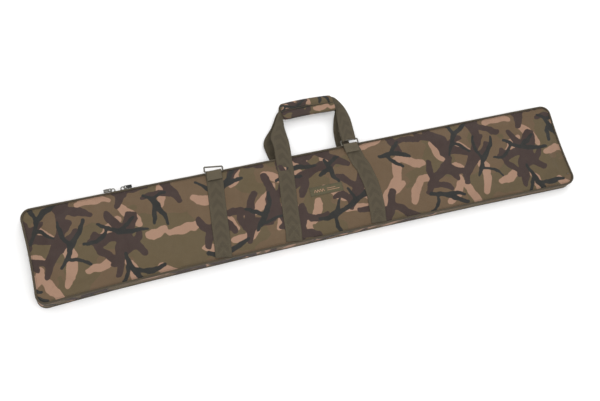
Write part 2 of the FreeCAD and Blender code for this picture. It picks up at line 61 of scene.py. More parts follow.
# ---------------------------------------------------------------- camera

CAMERA_PLACE = Vector((-0.7375, -0.6696, 2.4756))
CAMERA_TARGET = Vector((-0.0467, 0.0017, 0.03))
CAMERA_UP = Vector((0.2025, 0.9282, 0.3120))
CAMERA_LENS = 51.40
SENSOR_WIDTH = 36


def add_camera():
    """The camera, turned to face its target with a tilted horizon."""
    forward = (CAMERA_TARGET - CAMERA_PLACE).normalized()
    right = forward.cross(CAMERA_UP).normalized()
    up = right.cross(forward)
    turn = Matrix((right, up, -forward)).transposed()
    data = bpy.data.cameras.new("view")
    data.lens = CAMERA_LENS
    data.sensor_width = SENSOR_WIDTH
    camera = bpy.data.objects.new("view", data)
    camera.matrix_world = Matrix.Translation(CAMERA_PLACE) @ turn.to_4x4()
    scene.collection.objects.link(camera)
    scene.camera = camera


add_camera()

# ---------------------------------------------------------------- places taken from the frame


def low_high(name):
    low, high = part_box(name)
    return np.array(low), np.array(high)


PIPING_LOW, PIPING_HIGH = low_high("front_piping")
REAR_PIPING_LOW, REAR_PIPING_HIGH = low_high("rear_piping")
HALF_X = PIPING_HIGH[0]
HALF_Y = PIPING_HIGH[1]
CORD = (PIPING_HIGH[2] - PIPING_LOW[2]) / 2
PIPING_Z = (PIPING_HIGH[2] + PIPING_LOW[2]) / 2
REAR_PIPING_Z = (REAR_PIPING_HIGH[2] + REAR_PIPING_LOW[2]) / 2
CORNER = 0.032
ZIP_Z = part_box("slider_left")[0].z / 2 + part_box("slider_left")[1].z / 2
LINING_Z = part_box("front_panel_lining")[0].z
REAR_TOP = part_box("rear_panel_lining")[1].z
ZIP_END_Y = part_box("zip_coil_rear")[0].y
WEB = 0.0015

# The bottom edge hangs lower towards the right end, is drawn in along its middle, and
# moves outwards at its left end.
SAG_MIDDLE = -0.0076
SAG_SLOPE = -0.0116
BOW = 0.009
LEFT_DROP = 0.006
LEFT_DROP_START = 0.5
LEFT_DROP_RUN = 0.36

# Both ends draw in between their corners, and the right end as a whole moves out.
END_START = 0.68
DRAWN_IN = 0.0045
RIGHT_OUT = 0.011
RIGHT_LOW_OUT = 0.010
LEFT_LOW_OUT = 0.002


def share(y):
    """0 at the handle edge and 1 at the bottom edge."""
    return np.clip((HALF_Y - y) / (2 * HALF_Y), 0, 1)


def sag(x, y):
    """How far the front panel is lower than it would be on a full case."""
    return (SAG_MIDDLE + SAG_SLOPE * x) * share(y)


def bow(x, y):
    """How far a point moves towards the handle."""
    left_end = np.clip((-x - LEFT_DROP_START) / LEFT_DROP_RUN, 0, 1) ** 2
    return share(y) * (BOW * np.clip(1 - (x / HALF_X) ** 2, 0, 1) - LEFT_DROP * left_end)


def flare(x, y):
    """The ends draw in between their corners. The right end is pushed out, most at its low corner."""
    near_end = np.clip((np.abs(x) - END_START) / (HALF_X - END_START), 0, 1) ** 2
    drawn_in = -DRAWN_IN * np.cos(math.pi / 2 * np.clip(y / HALF_Y, -1, 1)) * np.sign(x)
    low = share(y) ** 2
    pushed_out = np.where(x > 0, RIGHT_OUT + RIGHT_LOW_OUT * low, -LEFT_LOW_OUT * low)
    return near_end * (drawn_in + pushed_out)


def settled(points, with_sag=True):
    """Move points of the straight case to where the soft one has them."""
    points = np.array(points, float)
    x, y = points[:, 0], points[:, 1]
    moved = points.copy()
    if with_sag:
        moved[:, 2] += sag(x, y)
    moved[:, 0] += flare(x, y)
    moved[:, 1] += bow(x, y)
    return moved


# ---------------------------------------------------------------- noise and the woodland print

NOISE_SIZE = 256


def value_noise(u, v, cell, seed):
    """Smooth noise from 0 to 1 on a plane, with features about one cell wide."""
    table = np.random.default_rng(seed).random((NOISE_SIZE, NOISE_SIZE))
    u = np.asarray(u, float) / cell
    v = np.asarray(v, float) / cell
    i = np.floor(u).astype(int)
    j = np.floor(v).astype(int)
    a = u - i
    b = v - j
    a = a * a * (3 - 2 * a)
    b = b * b * (3 - 2 * b)

    def corner(p, q):
        return table[(i + p) % NOISE_SIZE, (j + q) % NOISE_SIZE]

    low = corner(0, 0) * (1 - a) + corner(1, 0) * a
    high = corner(0, 1) * (1 - a) + corner(1, 1) * a
    return low * (1 - b) + high * b


def layered_noise(u, v, cell, seed):
    """Three sizes of noise added together, about -0.5 to 0.5."""
    total = value_noise(u, v, cell, seed)
    total = total + 0.5 * value_noise(u, v, cell / 2.1, seed + 1)
    total = total + 0.25 * value_noise(u, v, cell / 4.3, seed + 2)
    return total / 1.75 - 0.5


PRINT_REPEAT = 1.320
PRINT_LOW = -0.86
CLOTH_HALF = 0.14


def brush_stroke(chance, start, heading, length, wide, narrow, bend):
    """A wandering brush stroke: places along it, each with a half-width, widest near its middle."""
    steps = 5
    x, y = start
    stroke = []
    for step in range(steps + 1):
        swell = math.sin(math.pi * (0.12 + 0.76 * step / steps))
        stroke.append((x, y, narrow + (wide - narrow) * swell))
        heading += chance.uniform(-bend, bend)
        x += length / steps * math.cos(heading)
        y += length / steps * math.sin(heading)
    return stroke


def branching(chance, start, heading, length, wide, narrow, branches):
    """A trunk with limbs leaving it on alternate sides, like a forked twig or root."""
    trunk = brush_stroke(chance, start, heading, length, wide, narrow, 0.35)
    strokes = [trunk]
    side = chance.choice((-1, 1))
    for limb in range(branches):
        x, y, half = trunk[1 + limb % 4]
        turn = side * chance.uniform(0.8, 1.4)
        reach = length * chance.uniform(0.40, 0.62)
        strokes.append(brush_stroke(chance, (x, y), heading + turn, reach, half * 0.85, narrow, 0.45))
        side = -side
    return strokes


def scattered(seed, columns, rows, make):
    """One jittered place in each cell of a brick pattern over one repeat of the cloth."""
    chance = random.Random(seed)
    strokes = []
    for column in range(columns):
        for row in range(rows):
            share_u = (column + 0.5 * (row % 2) + chance.uniform(0.15, 0.65)) / columns
            share_v = (row + chance.uniform(0.2, 0.8)) / rows
            place_at = (PRINT_LOW + PRINT_REPEAT * share_u, CLOTH_HALF * (2 * share_v - 1))
            strokes += make(chance, place_at)
    return strokes


def brown_mark(chance, place_at):
    """A big forked mark that runs mostly across the cloth."""
    heading = chance.uniform(0.9, 2.6) * chance.choice((-1, 1))
    return branching(chance, place_at, heading, chance.uniform(0.13, 0.19), 0.0150, 0.0065, 3)


def tan_mark(chance, place_at):
    """A short plain mark that runs mostly along the cloth."""
    heading = chance.uniform(-0.9, 0.9)
    return [brush_stroke(chance, place_at, heading, chance.uniform(0.04, 0.13), 0.0145, 0.0065, 0.5)]


def twig_mark(chance, place_at):
    """A thin forked mark."""
    heading = chance.uniform(-1.2, 1.2)
    return branching(chance, place_at, heading, chance.uniform(0.08, 0.15), 0.0080, 0.0030, 2)


BROWN = scattered(3, 9, 2, brown_mark)
TAN = scattered(8, 12, 3, tan_mark)
TWIGS = scattered(5, 7, 2, twig_mark)


def stroke_field(u, v, strokes):
    """Distance inside the nearest brush stroke, in metres: positive inside and negative outside."""
    u = np.asarray(u, float)
    v = np.asarray(v, float)
    best = np.full(u.shape, -0.05)
    for stroke in strokes:
        run = np.array(stroke, float)
        low = run.min(axis=0) - 0.06
        high = run.max(axis=0) + 0.06
        for shift in (-PRINT_REPEAT, 0, PRINT_REPEAT):
            along_it = (u > low[0] + shift) & (u < high[0] + shift)
            near = np.nonzero(along_it & (v > low[1]) & (v < high[1]))[0]
            if not len(near):
                continue
            p = np.stack([u[near] - shift, v[near]], 1)
            inside = np.full(len(near), -0.05)
            for start, end in zip(run[:-1], run[1:]):
                along = end[:2] - start[:2]
                t = np.clip(((p - start[:2]) @ along) / (along @ along), 0, 1)
                gap = np.linalg.norm(p - start[:2] - t[:, None] * along, axis=1)
                inside = np.maximum(inside, start[2] + (end[2] - start[2]) * t - gap)
            best[near] = soft_max(best[near], inside, 0.006)
    return best


def soft_max(a, b, reach):
    """The larger of two fields, with a rounded join where they meet."""
    first = np.clip(0.5 + 0.5 * (a - b) / reach, 0, 1)
    return b * (1 - first) + a * first + reach * first * (1 - first)


def woodland_fields(u, v):
    """The print's four layers at points of the flat cloth."""
    u = np.asarray(u, float)
    v = np.asarray(v, float)
    drift_u = 0.016 * layered_noise(u, v, 0.045, 11) + 0.005 * layered_noise(u, v, 0.014, 31)
    drift_v = 0.016 * layered_noise(u, v, 0.045, 21) + 0.005 * layered_noise(u, v, 0.014, 41)
    wu = u + drift_u
    wv = v + drift_v
    green = (layered_noise(wu * 0.8, wv, 0.085, 5) - 0.05) * 0.09
    return {
        "print_green": green,
        "print_tan": stroke_field(wu, wv, TAN),
        "print_brown": stroke_field(wu, wv, BROWN),
        "print_twig": stroke_field(wu, wv, TWIGS),
    }


def print_on(piece, u, v):
    """Store the print's layers on a mesh, whose points lie at u, v on the flat cloth."""
    wrapped = (np.asarray(v, float) + CLOTH_HALF) % (2 * CLOTH_HALF) - CLOTH_HALF
    for name, values in woodland_fields(u, wrapped).items():
        layer = piece.data.attributes.new(name, "FLOAT", "POINT")
        layer.data.foreach_set("value", values.astype(np.float32))


# ---------------------------------------------------------------- materials


def linear(red, green, blue):
    """A display colour, from 0 to 255, as the shader's linear colour."""
    out = []
    for channel in (red, green, blue):
        c = channel / 255
        out.append(c / 12.92 if c <= 0.04045 else ((c + 0.055) / 1.055) ** 2.4)
    return (*out, 1)


def node(tree, kind, inputs=None, **settings):
    """A new shader node with its inputs linked or set."""
    made = tree.nodes.new("ShaderNode" + kind)
    for key, value in settings.items():
        setattr(made, key, value)
    for key, value in (inputs or {}).items():
        if isinstance(value, bpy.types.NodeSocket):
            tree.links.new(value, made.inputs[key])
        else:
            made.inputs[key].default_value = value
    return made


def maths(tree, operation, a, b=0.0):
    return node(tree, "Math", {0: a, 1: b}, operation=operation).outputs[0]


def mix(tree, factor, a, b, how="MIX"):
    made = node(tree, "Mix", {0: factor, 6: a, 7: b}, data_type="RGBA", blend_type=how)
    return made.outputs[2]


def attribute(tree, name):
    return node(tree, "Attribute", attribute_name=name).outputs["Fac"]


def surface(name, roughness, sheen=0.0, metallic=0.0):
    """A new material and its node tree and shader."""
    material = bpy.data.materials.new(name)
    material.use_nodes = True
    tree = material.node_tree
    shader = tree.nodes["Principled BSDF"]
    shader.inputs["Roughness"].default_value = roughness
    shader.inputs["Metallic"].default_value = metallic
    shader.inputs["Sheen Weight"].default_value = sheen
    shader.inputs["Sheen Roughness"].default_value = 0.5
    if not metallic:
        shader.inputs["Specular IOR Level"].default_value = 0.3
    return material, tree, shader


def place(tree):
    """Object coordinates, which are the frame's own, split into X, Y and Z."""
    coordinate = node(tree, "TexCoord").outputs["Object"]
    split = node(tree, "SeparateXYZ", {0: coordinate})
    return coordinate, split.outputs


def noise_at(tree, coordinate, scale, detail=2.0):
    inputs = {"Vector": coordinate, "Scale": scale, "Detail": detail}
    return node(tree, "TexNoise", inputs).outputs["Fac"]


def plain_weave(tree, pitch):
    """Height of a plain weave on faces that look up or sideways: X yarns over the others."""
    _, axis = place(tree)
    across = maths(tree, "SINE", maths(tree, "MULTIPLY", axis["X"], 2 * math.pi / pitch))
    depth = maths(tree, "ADD", axis["Y"], axis["Z"])
    along = maths(tree, "SINE", maths(tree, "MULTIPLY", depth, 2 * math.pi / pitch))
    return maths(tree, "MULTIPLY", across, along)


def bumped(tree, shader, height, distance, strength=1.0):
    bump = node(tree, "Bump", {"Height": height, "Distance": distance, "Strength": strength})
    tree.links.new(bump.outputs["Normal"], shader.inputs["Normal"])


def woodland(name, weave_pitch=0.0011):
    """Printed polyester: flat areas of colour with slightly soft edges on a fine weave."""
    material, tree, shader = surface(name, 0.84, sheen=0.03)
    coordinate, _ = place(tree)
    fine = noise_at(tree, coordinate, 420.0, 3.0)
    ragged = maths(tree, "MULTIPLY", maths(tree, "SUBTRACT", fine, 0.5), 0.0016)
    cloud = noise_at(tree, coordinate, 9.0, 3.0)
    colour = mix(tree, cloud, linear(104, 84, 63), linear(96, 78, 58))
    layers = (
        ("print_green", linear(91, 79, 56), linear(93, 79, 57)),
        ("print_tan", linear(164, 130, 109), linear(150, 119, 99)),
        ("print_brown", linear(62, 48, 46), linear(56, 43, 40)),
        ("print_twig", linear(38, 40, 41), linear(33, 35, 34)),
    )
    for field, first, second in layers:
        value = maths(tree, "ADD", attribute(tree, field), ragged)
        inside = node(tree, "MapRange", {0: value, 1: -0.0005, 2: 0.0005, 3: 0.0, 4: 1.0}).outputs[0]
        tone = mix(tree, cloud, first, second)
        colour = mix(tree, inside, colour, tone)
    weave = plain_weave(tree, weave_pitch)
    # Painted shade: the weave's low parts darken the print, as if shaded in the hollows between yarns.
    thread = maths(tree, "MULTIPLY", maths(tree, "ADD", weave, 1.0), 0.5)
    weave_hollow_shade = mix(tree, thread, linear(70, 66, 56), linear(255, 255, 250))
    cloth_with_weave_shade = mix(tree, 0.16, colour, weave_hollow_shade, "MULTIPLY")
    worn = maths(tree, "MULTIPLY", noise_at(tree, coordinate, 46.0, 4.0), 0.07)
    faded = mix(tree, worn, cloth_with_weave_shade, linear(140, 126, 106))
    tree.links.new(faded, shader.inputs["Base Color"])
    rough = node(tree, "MapRange", {0: cloud, 1: 0.3, 2: 0.7, 3: 0.78, 4: 0.9}).outputs[0]
    tree.links.new(rough, shader.inputs["Roughness"])
    creases = maths(tree, "MULTIPLY", noise_at(tree, coordinate, 34.0, 4.0), 3.0)
    bumped(tree, shader, maths(tree, "ADD", weave, creases), 0.00035, 0.5)
    return material


def webbing_cloth(name, base, dark, motif_colour=None):
    """Ribbed webbing, with woven chevrons if they have a colour.

    web_u runs from -1 to 1 across it and web_v is the distance along it.
    """
    material, tree, shader = surface(name, 0.85, sheen=0.04)
    coordinate, _ = place(tree)
    u = attribute(tree, "web_u")
    v = attribute(tree, "web_v")
    side = maths(tree, "ABSOLUTE", u)
    ribs = maths(tree, "SINE", maths(tree, "MULTIPLY", v, 2 * math.pi / 0.0024))
    wales = maths(tree, "SINE", maths(tree, "MULTIPLY", u, 58.0))
    cloud = noise_at(tree, coordinate, 60.0, 3.0)
    colour = mix(tree, cloud, base, dark)
    if motif_colour:
        slope = maths(tree, "MULTIPLY", side, 0.9)
        slanted = maths(tree, "ADD", maths(tree, "MULTIPLY", v, 30.0), slope)
        wave = maths(tree, "SINE", maths(tree, "MULTIPLY", slanted, 2 * math.pi))
        chevron = node(tree, "MapRange", {0: wave, 1: -0.15, 2: 0.15, 3: 0.0, 4: 1.0}).outputs[0]
        inner = node(tree, "MapRange", {0: side, 1: 0.66, 2: 0.62, 3: 0.0, 4: 1.0}).outputs[0]
        strength = maths(tree, "MULTIPLY", maths(tree, "MULTIPLY", chevron, inner), 0.55)
        colour = mix(tree, strength, colour, motif_colour)
    edge = node(tree, "MapRange", {0: side, 1: 0.9, 2: 1.0, 3: 0.0, 4: 0.45}).outputs[0]
    colour = mix(tree, edge, colour, dark)
    # Painted shade: the colour darkens where ribs and wales are low, as if shaded in the weave's hollows.
    rib_height_share = maths(tree, "MULTIPLY", maths(tree, "ADD", maths(tree, "MULTIPLY", ribs, wales), 1.0), 0.5)
    weave_hollow_shade = mix(tree, rib_height_share, linear(120, 116, 104), linear(255, 255, 252))
    colour = mix(tree, 0.3, colour, weave_hollow_shade, "MULTIPLY")
    tree.links.new(colour, shader.inputs["Base Color"])
    height = maths(tree, "ADD", maths(tree, "MULTIPLY", ribs, 0.6), maths(tree, "MULTIPLY", wales, 0.4))
    bumped(tree, shader, height, 0.0004, 0.6)
    return material


def ribbed_cloth(name, colour, dark, pitch, depth=0.0003, roughness=0.75):
    """Plain cloth or tape with a fine weave, mottled between two tones."""
    material, tree, shader = surface(name, roughness, sheen=0.1)
    coordinate, _ = place(tree)
    cloud = noise_at(tree, coordinate, 70.0, 4.0)
    weave = plain_weave(tree, pitch)
    tone = mix(tree, cloud, colour, dark)
    # Painted shade: the weave's low parts darken the tone, as if shaded in the hollows between yarns.
    thread = maths(tree, "MULTIPLY", maths(tree, "ADD", weave, 1.0), 0.5)
    weave_hollow_shade = mix(tree, thread, linear(110, 108, 100), linear(255, 255, 252))
    tone = mix(tree, 0.25, tone, weave_hollow_shade, "MULTIPLY")
    tree.links.new(tone, shader.inputs["Base Color"])
    bumped(tree, shader, weave, depth, 0.5)
    return material


def nickel(name, colour, roughness):
    """Plated metal with faint brushing, and dull spots where hands and cloth rub it."""
    material, tree, shader = surface(name, roughness, metallic=1.0)
    coordinate, _ = place(tree)
    spots = noise_at(tree, coordinate, 260.0, 4.0)
    cloud = noise_at(tree, coordinate, 40.0, 2.0)
    dull = linear(*(int(c * 0.72) for c in colour))
    tree.links.new(mix(tree, cloud, linear(*colour), dull), shader.inputs["Base Color"])
    between = {0: spots, 1: 0.3, 2: 0.75, 3: roughness * 0.7, 4: roughness * 1.7}
    rough = node(tree, "MapRange", between).outputs[0]
    tree.links.new(rough, shader.inputs["Roughness"])
    bumped(tree, shader, spots, 0.0001, 0.2)
    return material


def thread_material(name, colour, dark):
    material, tree, shader = surface(name, 0.6, sheen=0.2)
    coordinate, axis = place(tree)
    run = maths(tree, "ADD", axis["X"], axis["Y"])
    twist = maths(tree, "SINE", maths(tree, "MULTIPLY", run, 9000.0))
    tone = mix(tree, noise_at(tree, coordinate, 500.0), colour, dark)
    tree.links.new(tone, shader.inputs["Base Color"])
    bumped(tree, shader, twist, 0.0001, 0.4)
    return material


CAMO = woodland("woodland_cloth")
GRIP_CAMO = woodland("woodland_grip")
STRAP = webbing_cloth("strap_webbing", linear(84, 76, 60), linear(76, 68, 54), linear(69, 62, 49))
PLAIN_WEB = webbing_cloth("tab_webbing", linear(98, 89, 72), linear(84, 76, 61))
PIPING_CLOTH = ribbed_cloth("piping_binding", linear(82, 72, 55), linear(66, 57, 44), 0.0009)
ZIP_TAPE = ribbed_cloth("zip_tape", linear(84, 80, 56), linear(66, 62, 44), 0.0012)
ZIP_TEETH = ribbed_cloth("zip_teeth", linear(58, 52, 40), linear(46, 42, 32), 0.0006, 0.0001, 0.4)
LINING = ribbed_cloth("lining_cloth", linear(58, 58, 52), linear(48, 48, 42), 0.0016)
RING_METAL = nickel("ring_nickel", (112, 108, 98), 0.36)
PULL_METAL = nickel("pull_nickel", (128, 126, 120), 0.32)
BLACK_PULL = ribbed_cloth("black_moulding", linear(34, 34, 32), linear(26, 26, 24), 0.0007, 0.0001, 0.5)
THREAD = thread_material("olive_thread", linear(96, 90, 66), linear(76, 70, 50))
DARK_THREAD = thread_material("brown_thread", linear(64, 56, 42), linear(50, 44, 34))
TAN_THREAD = thread_material("tan_thread", linear(176, 138, 108), linear(150, 116, 90))
LABEL = ribbed_cloth("label_cloth", linear(92, 86, 62), linear(80, 74, 54), 0.0008)

# ---------------------------------------------------------------- meshes


def piece_of(name, points, faces, material, smooth=True):
    """A new object from points and faces."""
    data = bpy.data.meshes.new(name)
    data.from_pydata([tuple(map(float, p)) for p in points], [], [tuple(map(int, f)) for f in faces])
    data.validate()
    data.materials.append(material)
    data.polygons.foreach_set("use_smooth", [smooth] * len(data.polygons))
    data.update()
    made = bpy.data.objects.new(name, data)
    scene.collection.objects.link(made)
    return made


def add_values(piece, name, values):
    layer = piece.data.attributes.new(name, "FLOAT", "POINT")
    layer.data.foreach_set("value", np.asarray(values, np.float32))


def values_of(data, name):
    """A value stored at each of a mesh's points."""
    out = np.zeros(len(data.vertices))
    data.attributes[name].data.foreach_get("value", out)
    return out


def grid_faces(rows, columns, close_rows=False, close_columns=False, offset=0, flip=False):
    """Quads of a grid whose point (r, c) has number r * columns + c."""
    faces = []
    for r in range(rows if close_rows else rows - 1):
        for c in range(columns if close_columns else columns - 1):
            r1 = (r + 1) % rows
            c1 = (c + 1) % columns
            quad = [r * columns + c, r * columns + c1, r1 * columns + c1, r1 * columns + c]
            if flip:
                quad.reverse()
            faces.append([offset + q for q in quad])
    return faces


def slab_faces(columns, rows):
    """Faces of two equal grids, the upper one first, joined round their rims."""
    size = columns * rows
    faces = grid_faces(columns, rows)
    faces += grid_faces(columns, rows, offset=size, flip=True)
    rim = [c * rows for c in range(columns)]
    rim += [(columns - 1) * rows + r for r in range(1, rows)]
    rim += [c * rows + rows - 1 for c in range(columns - 2, -1, -1)]
    rim += [r for r in range(rows - 2, 0, -1)]
    for a, b in zip(rim, rim[1:] + rim[:1]):
        faces.append([a, b, b + size, a + size])
    return faces


def rounded_outline(half_x, half_y, radius, step=0.006):
    """Points anticlockwise round a rounded rectangle, from the middle of its -Y side."""
    points = []
    count_x = max(2, round((half_x - radius) / step))
    count_y = max(2, round(2 * (half_y - radius) / step))
    turn = max(4, round(radius * math.pi / 2 / step))
    for x in np.linspace(0, half_x - radius, count_x, endpoint=False):
        points.append((x, -half_y))
    for corner_x, corner_y, start in ((1, -1, -90), (1, 1, 0), (-1, 1, 90), (-1, -1, 180)):
        cx = corner_x * (half_x - radius)
        cy = corner_y * (half_y - radius)
        for angle in np.radians(np.linspace(start, start + 90, turn, endpoint=False)):
            points.append((cx + radius * math.cos(angle), cy + radius * math.sin(angle)))
        if start == -90:
            side = [(half_x, y) for y in np.linspace(cy, -cy, count_y, endpoint=False)]
        elif start == 0:
            side = [(x, half_y) for x in np.linspace(cx, -cx, 2 * count_x, endpoint=False)]
        elif start == 90:
            side = [(-half_x, y) for y in np.linspace(cy, -cy, count_y, endpoint=False)]
        else:
            side = [(x, -half_y) for x in np.linspace(cx, 0, count_x, endpoint=False)]
        points += side
    return np.array(points)


def open_part(outline, upper):
    """The part of the outline above (or below) the zip's end, in order from one end to the other."""
    keep = outline[:, 1] > ZIP_END_Y if upper else outline[:, 1] < ZIP_END_Y + 0.004
    start = next(i for i in range(len(outline)) if keep[i] and not keep[i - 1])
    rolled = np.roll(outline, -start, axis=0)
    kept = np.roll(keep, -start)
    return rolled[kept]


def lifted(outline, z):
    return np.column_stack([outline, np.full(len(outline), z)])


def directions(path, closed):
    """Unit tangents of a path."""
    ahead = np.roll(path, -1, axis=0)
    behind = np.roll(path, 1, axis=0)
    if not closed:
        ahead[-1] = path[-1]
        behind[0] = path[0]
    tangent = ahead - behind
    return tangent / np.linalg.norm(tangent, axis=1)[:, None]


def tube(name, path, radius, material, closed=False, sides=10, up=(0, 0, 1)):
    """A round cord along a path; radius may be one number or one for each point."""
    path = np.asarray(path, float)
    tangent = directions(path, closed)
    side = np.cross(tangent, np.array(up, float))
    side /= np.maximum(np.linalg.norm(side, axis=1), 1e-9)[:, None]
    other = np.cross(side, tangent)
    radii = np.broadcast_to(radius, (len(path),))
    points = []
    for centre, a, b, r in zip(path, side, other, radii):
        for k in range(sides):
            angle = 2 * math.pi * k / sides
            points.append(centre + r * (math.cos(angle) * a + math.sin(angle) * b))
    faces = grid_faces(len(path), sides, close_rows=closed, close_columns=True)
    if not closed:
        first = list(range(sides))
        last = [(len(path) - 1) * sides + k for k in range(sides)]
        faces += [first[::-1], last]
    return piece_of(name, points, faces, material)


def joined(name, pieces):
    """Join several objects into the first, and name it."""
    data = bmesh.new()
    for piece in pieces:
        data.from_mesh(piece.data)
    mesh = bpy.data.meshes.new(name)
    data.to_mesh(mesh)
    data.free()
    mesh.materials.append(pieces[0].data.materials[0])
    mesh.polygons.foreach_set("use_smooth", [True] * len(mesh.polygons))
    made = bpy.data.objects.new(name, mesh)
    scene.collection.objects.link(made)
    for piece in pieces:
        bpy.data.objects.remove(piece, do_unlink=True)
    return made


def soft_line(points, step):
    """A smooth line through points (Catmull-Rom), with points every step or so."""
    points = np.asarray(points, float)
    padded = np.vstack([2 * points[0] - points[1], points, 2 * points[-1] - points[-2]])
    out = []
    for i in range(1, len(padded) - 2):
        p0, p1, p2, p3 = padded[i - 1 : i + 3]
        count = max(2, int(np.linalg.norm(p2 - p1) / step))
        for t in np.linspace(0, 1, count, endpoint=False):
            square = (2 * p0 - 5 * p1 + 4 * p2 - p3) * t**2
            cube = (3 * p1 - p0 - 3 * p2 + p3) * t**3
            out.append(0.5 * (2 * p1 + (p2 - p0) * t + square + cube))
    out.append(points[-1])
    return np.array(out)


def resampled(line, count):
    """The line with a set number of evenly spaced points."""
    gaps = np.linalg.norm(np.diff(line, axis=0), axis=1)
    run = np.concatenate([[0], np.cumsum(gaps)])
    wanted = np.linspace(0, run[-1], count)
    return np.column_stack([np.interp(wanted, run, line[:, k]) for k in range(line.shape[1])])


WEB_COLUMNS = 17


def webbing(name, left, right, material, thick=WEB):
    """A webbing strip between two edge lines with equally many points; its faces have raised bands."""
    left = np.asarray(left, float)
    right = np.asarray(right, float)
    rows = len(left)
    share_across = np.linspace(0, 1, WEB_COLUMNS)
    middle = (left + right) / 2
    along = directions(middle, False)
    across = right - left
    normal = np.cross(across, along)
    normal /= np.linalg.norm(normal, axis=1)[:, None]
    run = np.concatenate([[0], np.cumsum(np.linalg.norm(np.diff(middle, axis=0), axis=1))])
    points = []
    u_values = []
    v_values = []
    for face in (1, -1):
        for r in range(rows):
            for s in share_across:
                u = 2 * s - 1
                rim = 1 - 0.55 * max(0, abs(u) - 0.9) / 0.1
                band = 0.12 * thick * (1 if 0.7 < abs(u) < 0.9 else 0)
                lift = face * (thick / 2 * rim + band)
                points.append(left[r] + s * across[r] + normal[r] * lift)
                u_values.append(u)
                v_values.append(run[r])
    size = rows * WEB_COLUMNS
    faces = grid_faces(rows, WEB_COLUMNS)
    faces += grid_faces(rows, WEB_COLUMNS, offset=size, flip=True)
    for r in range(rows - 1):
        for c in (0, WEB_COLUMNS - 1):
            a = r * WEB_COLUMNS + c
            b = a + WEB_COLUMNS
            quad = [a, b, b + size, a + size]
            faces.append(quad if c == 0 else quad[::-1])
    for c in range(WEB_COLUMNS - 1):
        for r in (0, rows - 1):
            a = r * WEB_COLUMNS + c
            quad = [a, a + size, a + 1 + size, a + 1]
            faces.append(quad if r == 0 else quad[::-1])
    made = piece_of(name, points, faces, material)
    add_values(made, "web_u", u_values)
    add_values(made, "web_v", v_values)
    facing_out(made)
    return made


def facing_out(piece):
    """Make a closed mesh's faces all look outwards."""
    data = bmesh.new()
    data.from_mesh(piece.data)
    bmesh.ops.recalc_face_normals(data, faces=data.faces)
    data.to_mesh(piece.data)
    data.free()


def rounded_block(name, low, high, bevel, material, segments=3):
    """A block with rounded edges between two corners."""
    data = bmesh.new()
    bmesh.ops.create_cube(data, size=1)
    low = Vector(low)
    high = Vector(high)
    bmesh.ops.scale(data, vec=high - low, verts=data.verts)
    bmesh.ops.translate(data, vec=(high + low) / 2, verts=data.verts)
    edges = data.edges[:]
    bmesh.ops.bevel(data, geom=edges, offset=bevel, segments=segments, profile=0.5, affect="EDGES")
    mesh = bpy.data.meshes.new(name)
    data.to_mesh(mesh)
    data.free()
    mesh.materials.append(material)
    mesh.polygons.foreach_set("use_smooth", [True] * len(mesh.polygons))
    made = bpy.data.objects.new(name, mesh)
    scene.collection.objects.link(made)
    return made


STITCH_SIDES = 5


def stitches(name, lines, material, spacing=0.0042, length=0.0029, radius=0.00042):
    """Rows of sewn stitches, each a short thread with rounded ends, in one object."""
    points = []
    faces = []
    for line, lift in lines:
        line = np.asarray(line, float)
        total = np.linalg.norm(np.diff(line, axis=0), axis=1).sum()
        count = max(2, int(total / spacing))
        spots = resampled(line, count)
        along = directions(spots, False)
        lift = np.array(lift, float)
        for centre, tangent in zip(spots, along):
            side = np.cross(tangent, lift)
            side /= max(np.linalg.norm(side), 1e-9)
            base = len(points)
            for t, r, drop in ((-0.5, 0.35, 0.6), (-0.28, 1, 0), (0.28, 1, 0), (0.5, 0.35, 0.6)):
                ring = centre + tangent * length * t - lift * radius * drop
                for k in range(STITCH_SIDES):
                    angle = 2 * math.pi * k / STITCH_SIDES
                    points.append(ring + radius * r * (math.cos(angle) * side + math.sin(angle) * lift))
            faces += grid_faces(4, STITCH_SIDES, close_columns=True, offset=base)
            faces.append([base + k for k in range(STITCH_SIDES)][::-1])
            faces.append([base + 3 * STITCH_SIDES + k for k in range(STITCH_SIDES)])
    made = piece_of(name, points, faces, material)
    facing_out(made)
    return made


# ---------------------------------------------------------------- front panel

PANEL_INSET = 0.0062
PANEL_Z = PIPING_Z - 0.0006
PANEL_LIFT = 0.0009
SIDE_INWARD = 0.0012
CROWN = 0.0085
CROWN_RUN = 0.042
PANEL_STEP = 0.0064
PANEL_ROWS = 45
FILL_FRAMES = 18
FILL_LIMIT = 0.006


def panel_columns(half_x, radius, step):
    """X of each column of points: even along the middle and even by angle round the corners."""
    straight = half_x - radius
    middle = np.linspace(-straight, straight, round(2 * straight / step) + 1)
    turn = straight + radius * np.sin(np.radians(np.linspace(13, 90, 8)))
    return np.concatenate([-turn[::-1], middle, turn])


def half_span(x, half_x, half_y, radius):
    """Half the width of a rounded panel at each X."""
    over = np.clip(np.abs(x) - (half_x - radius), 0, radius)
    return half_y - radius + np.sqrt(np.maximum(radius**2 - over**2, 0))


def panel_grid(inset, step, rows):
    """Points of a flat rounded panel as columns by rows, and each point's distance to the edge."""
    half_x = HALF_X - inset
    half_y = HALF_Y - inset
    radius = CORNER - inset
    xs = panel_columns(half_x, radius, step)
    spans = half_span(xs, half_x, half_y, radius)
    shares = np.sin(np.linspace(-1, 1, rows) * math.pi / 2 * 0.82) / math.sin(math.pi / 2 * 0.82)
    x = np.repeat(xs, rows)
    y = (spans[:, None] * shares[None, :]).ravel()
    edge_x = half_x - np.abs(x)
    edge_y = half_y - np.abs(y)
    near = np.clip(radius - edge_x, 0, None) ** 2 + np.clip(radius - edge_y, 0, None) ** 2
    in_corner = (edge_x < radius) & (edge_y < radius)
    edge = np.where(in_corner, radius - np.sqrt(near), np.minimum(edge_x, edge_y))
    return x, y, np.maximum(edge, 0), len(xs)


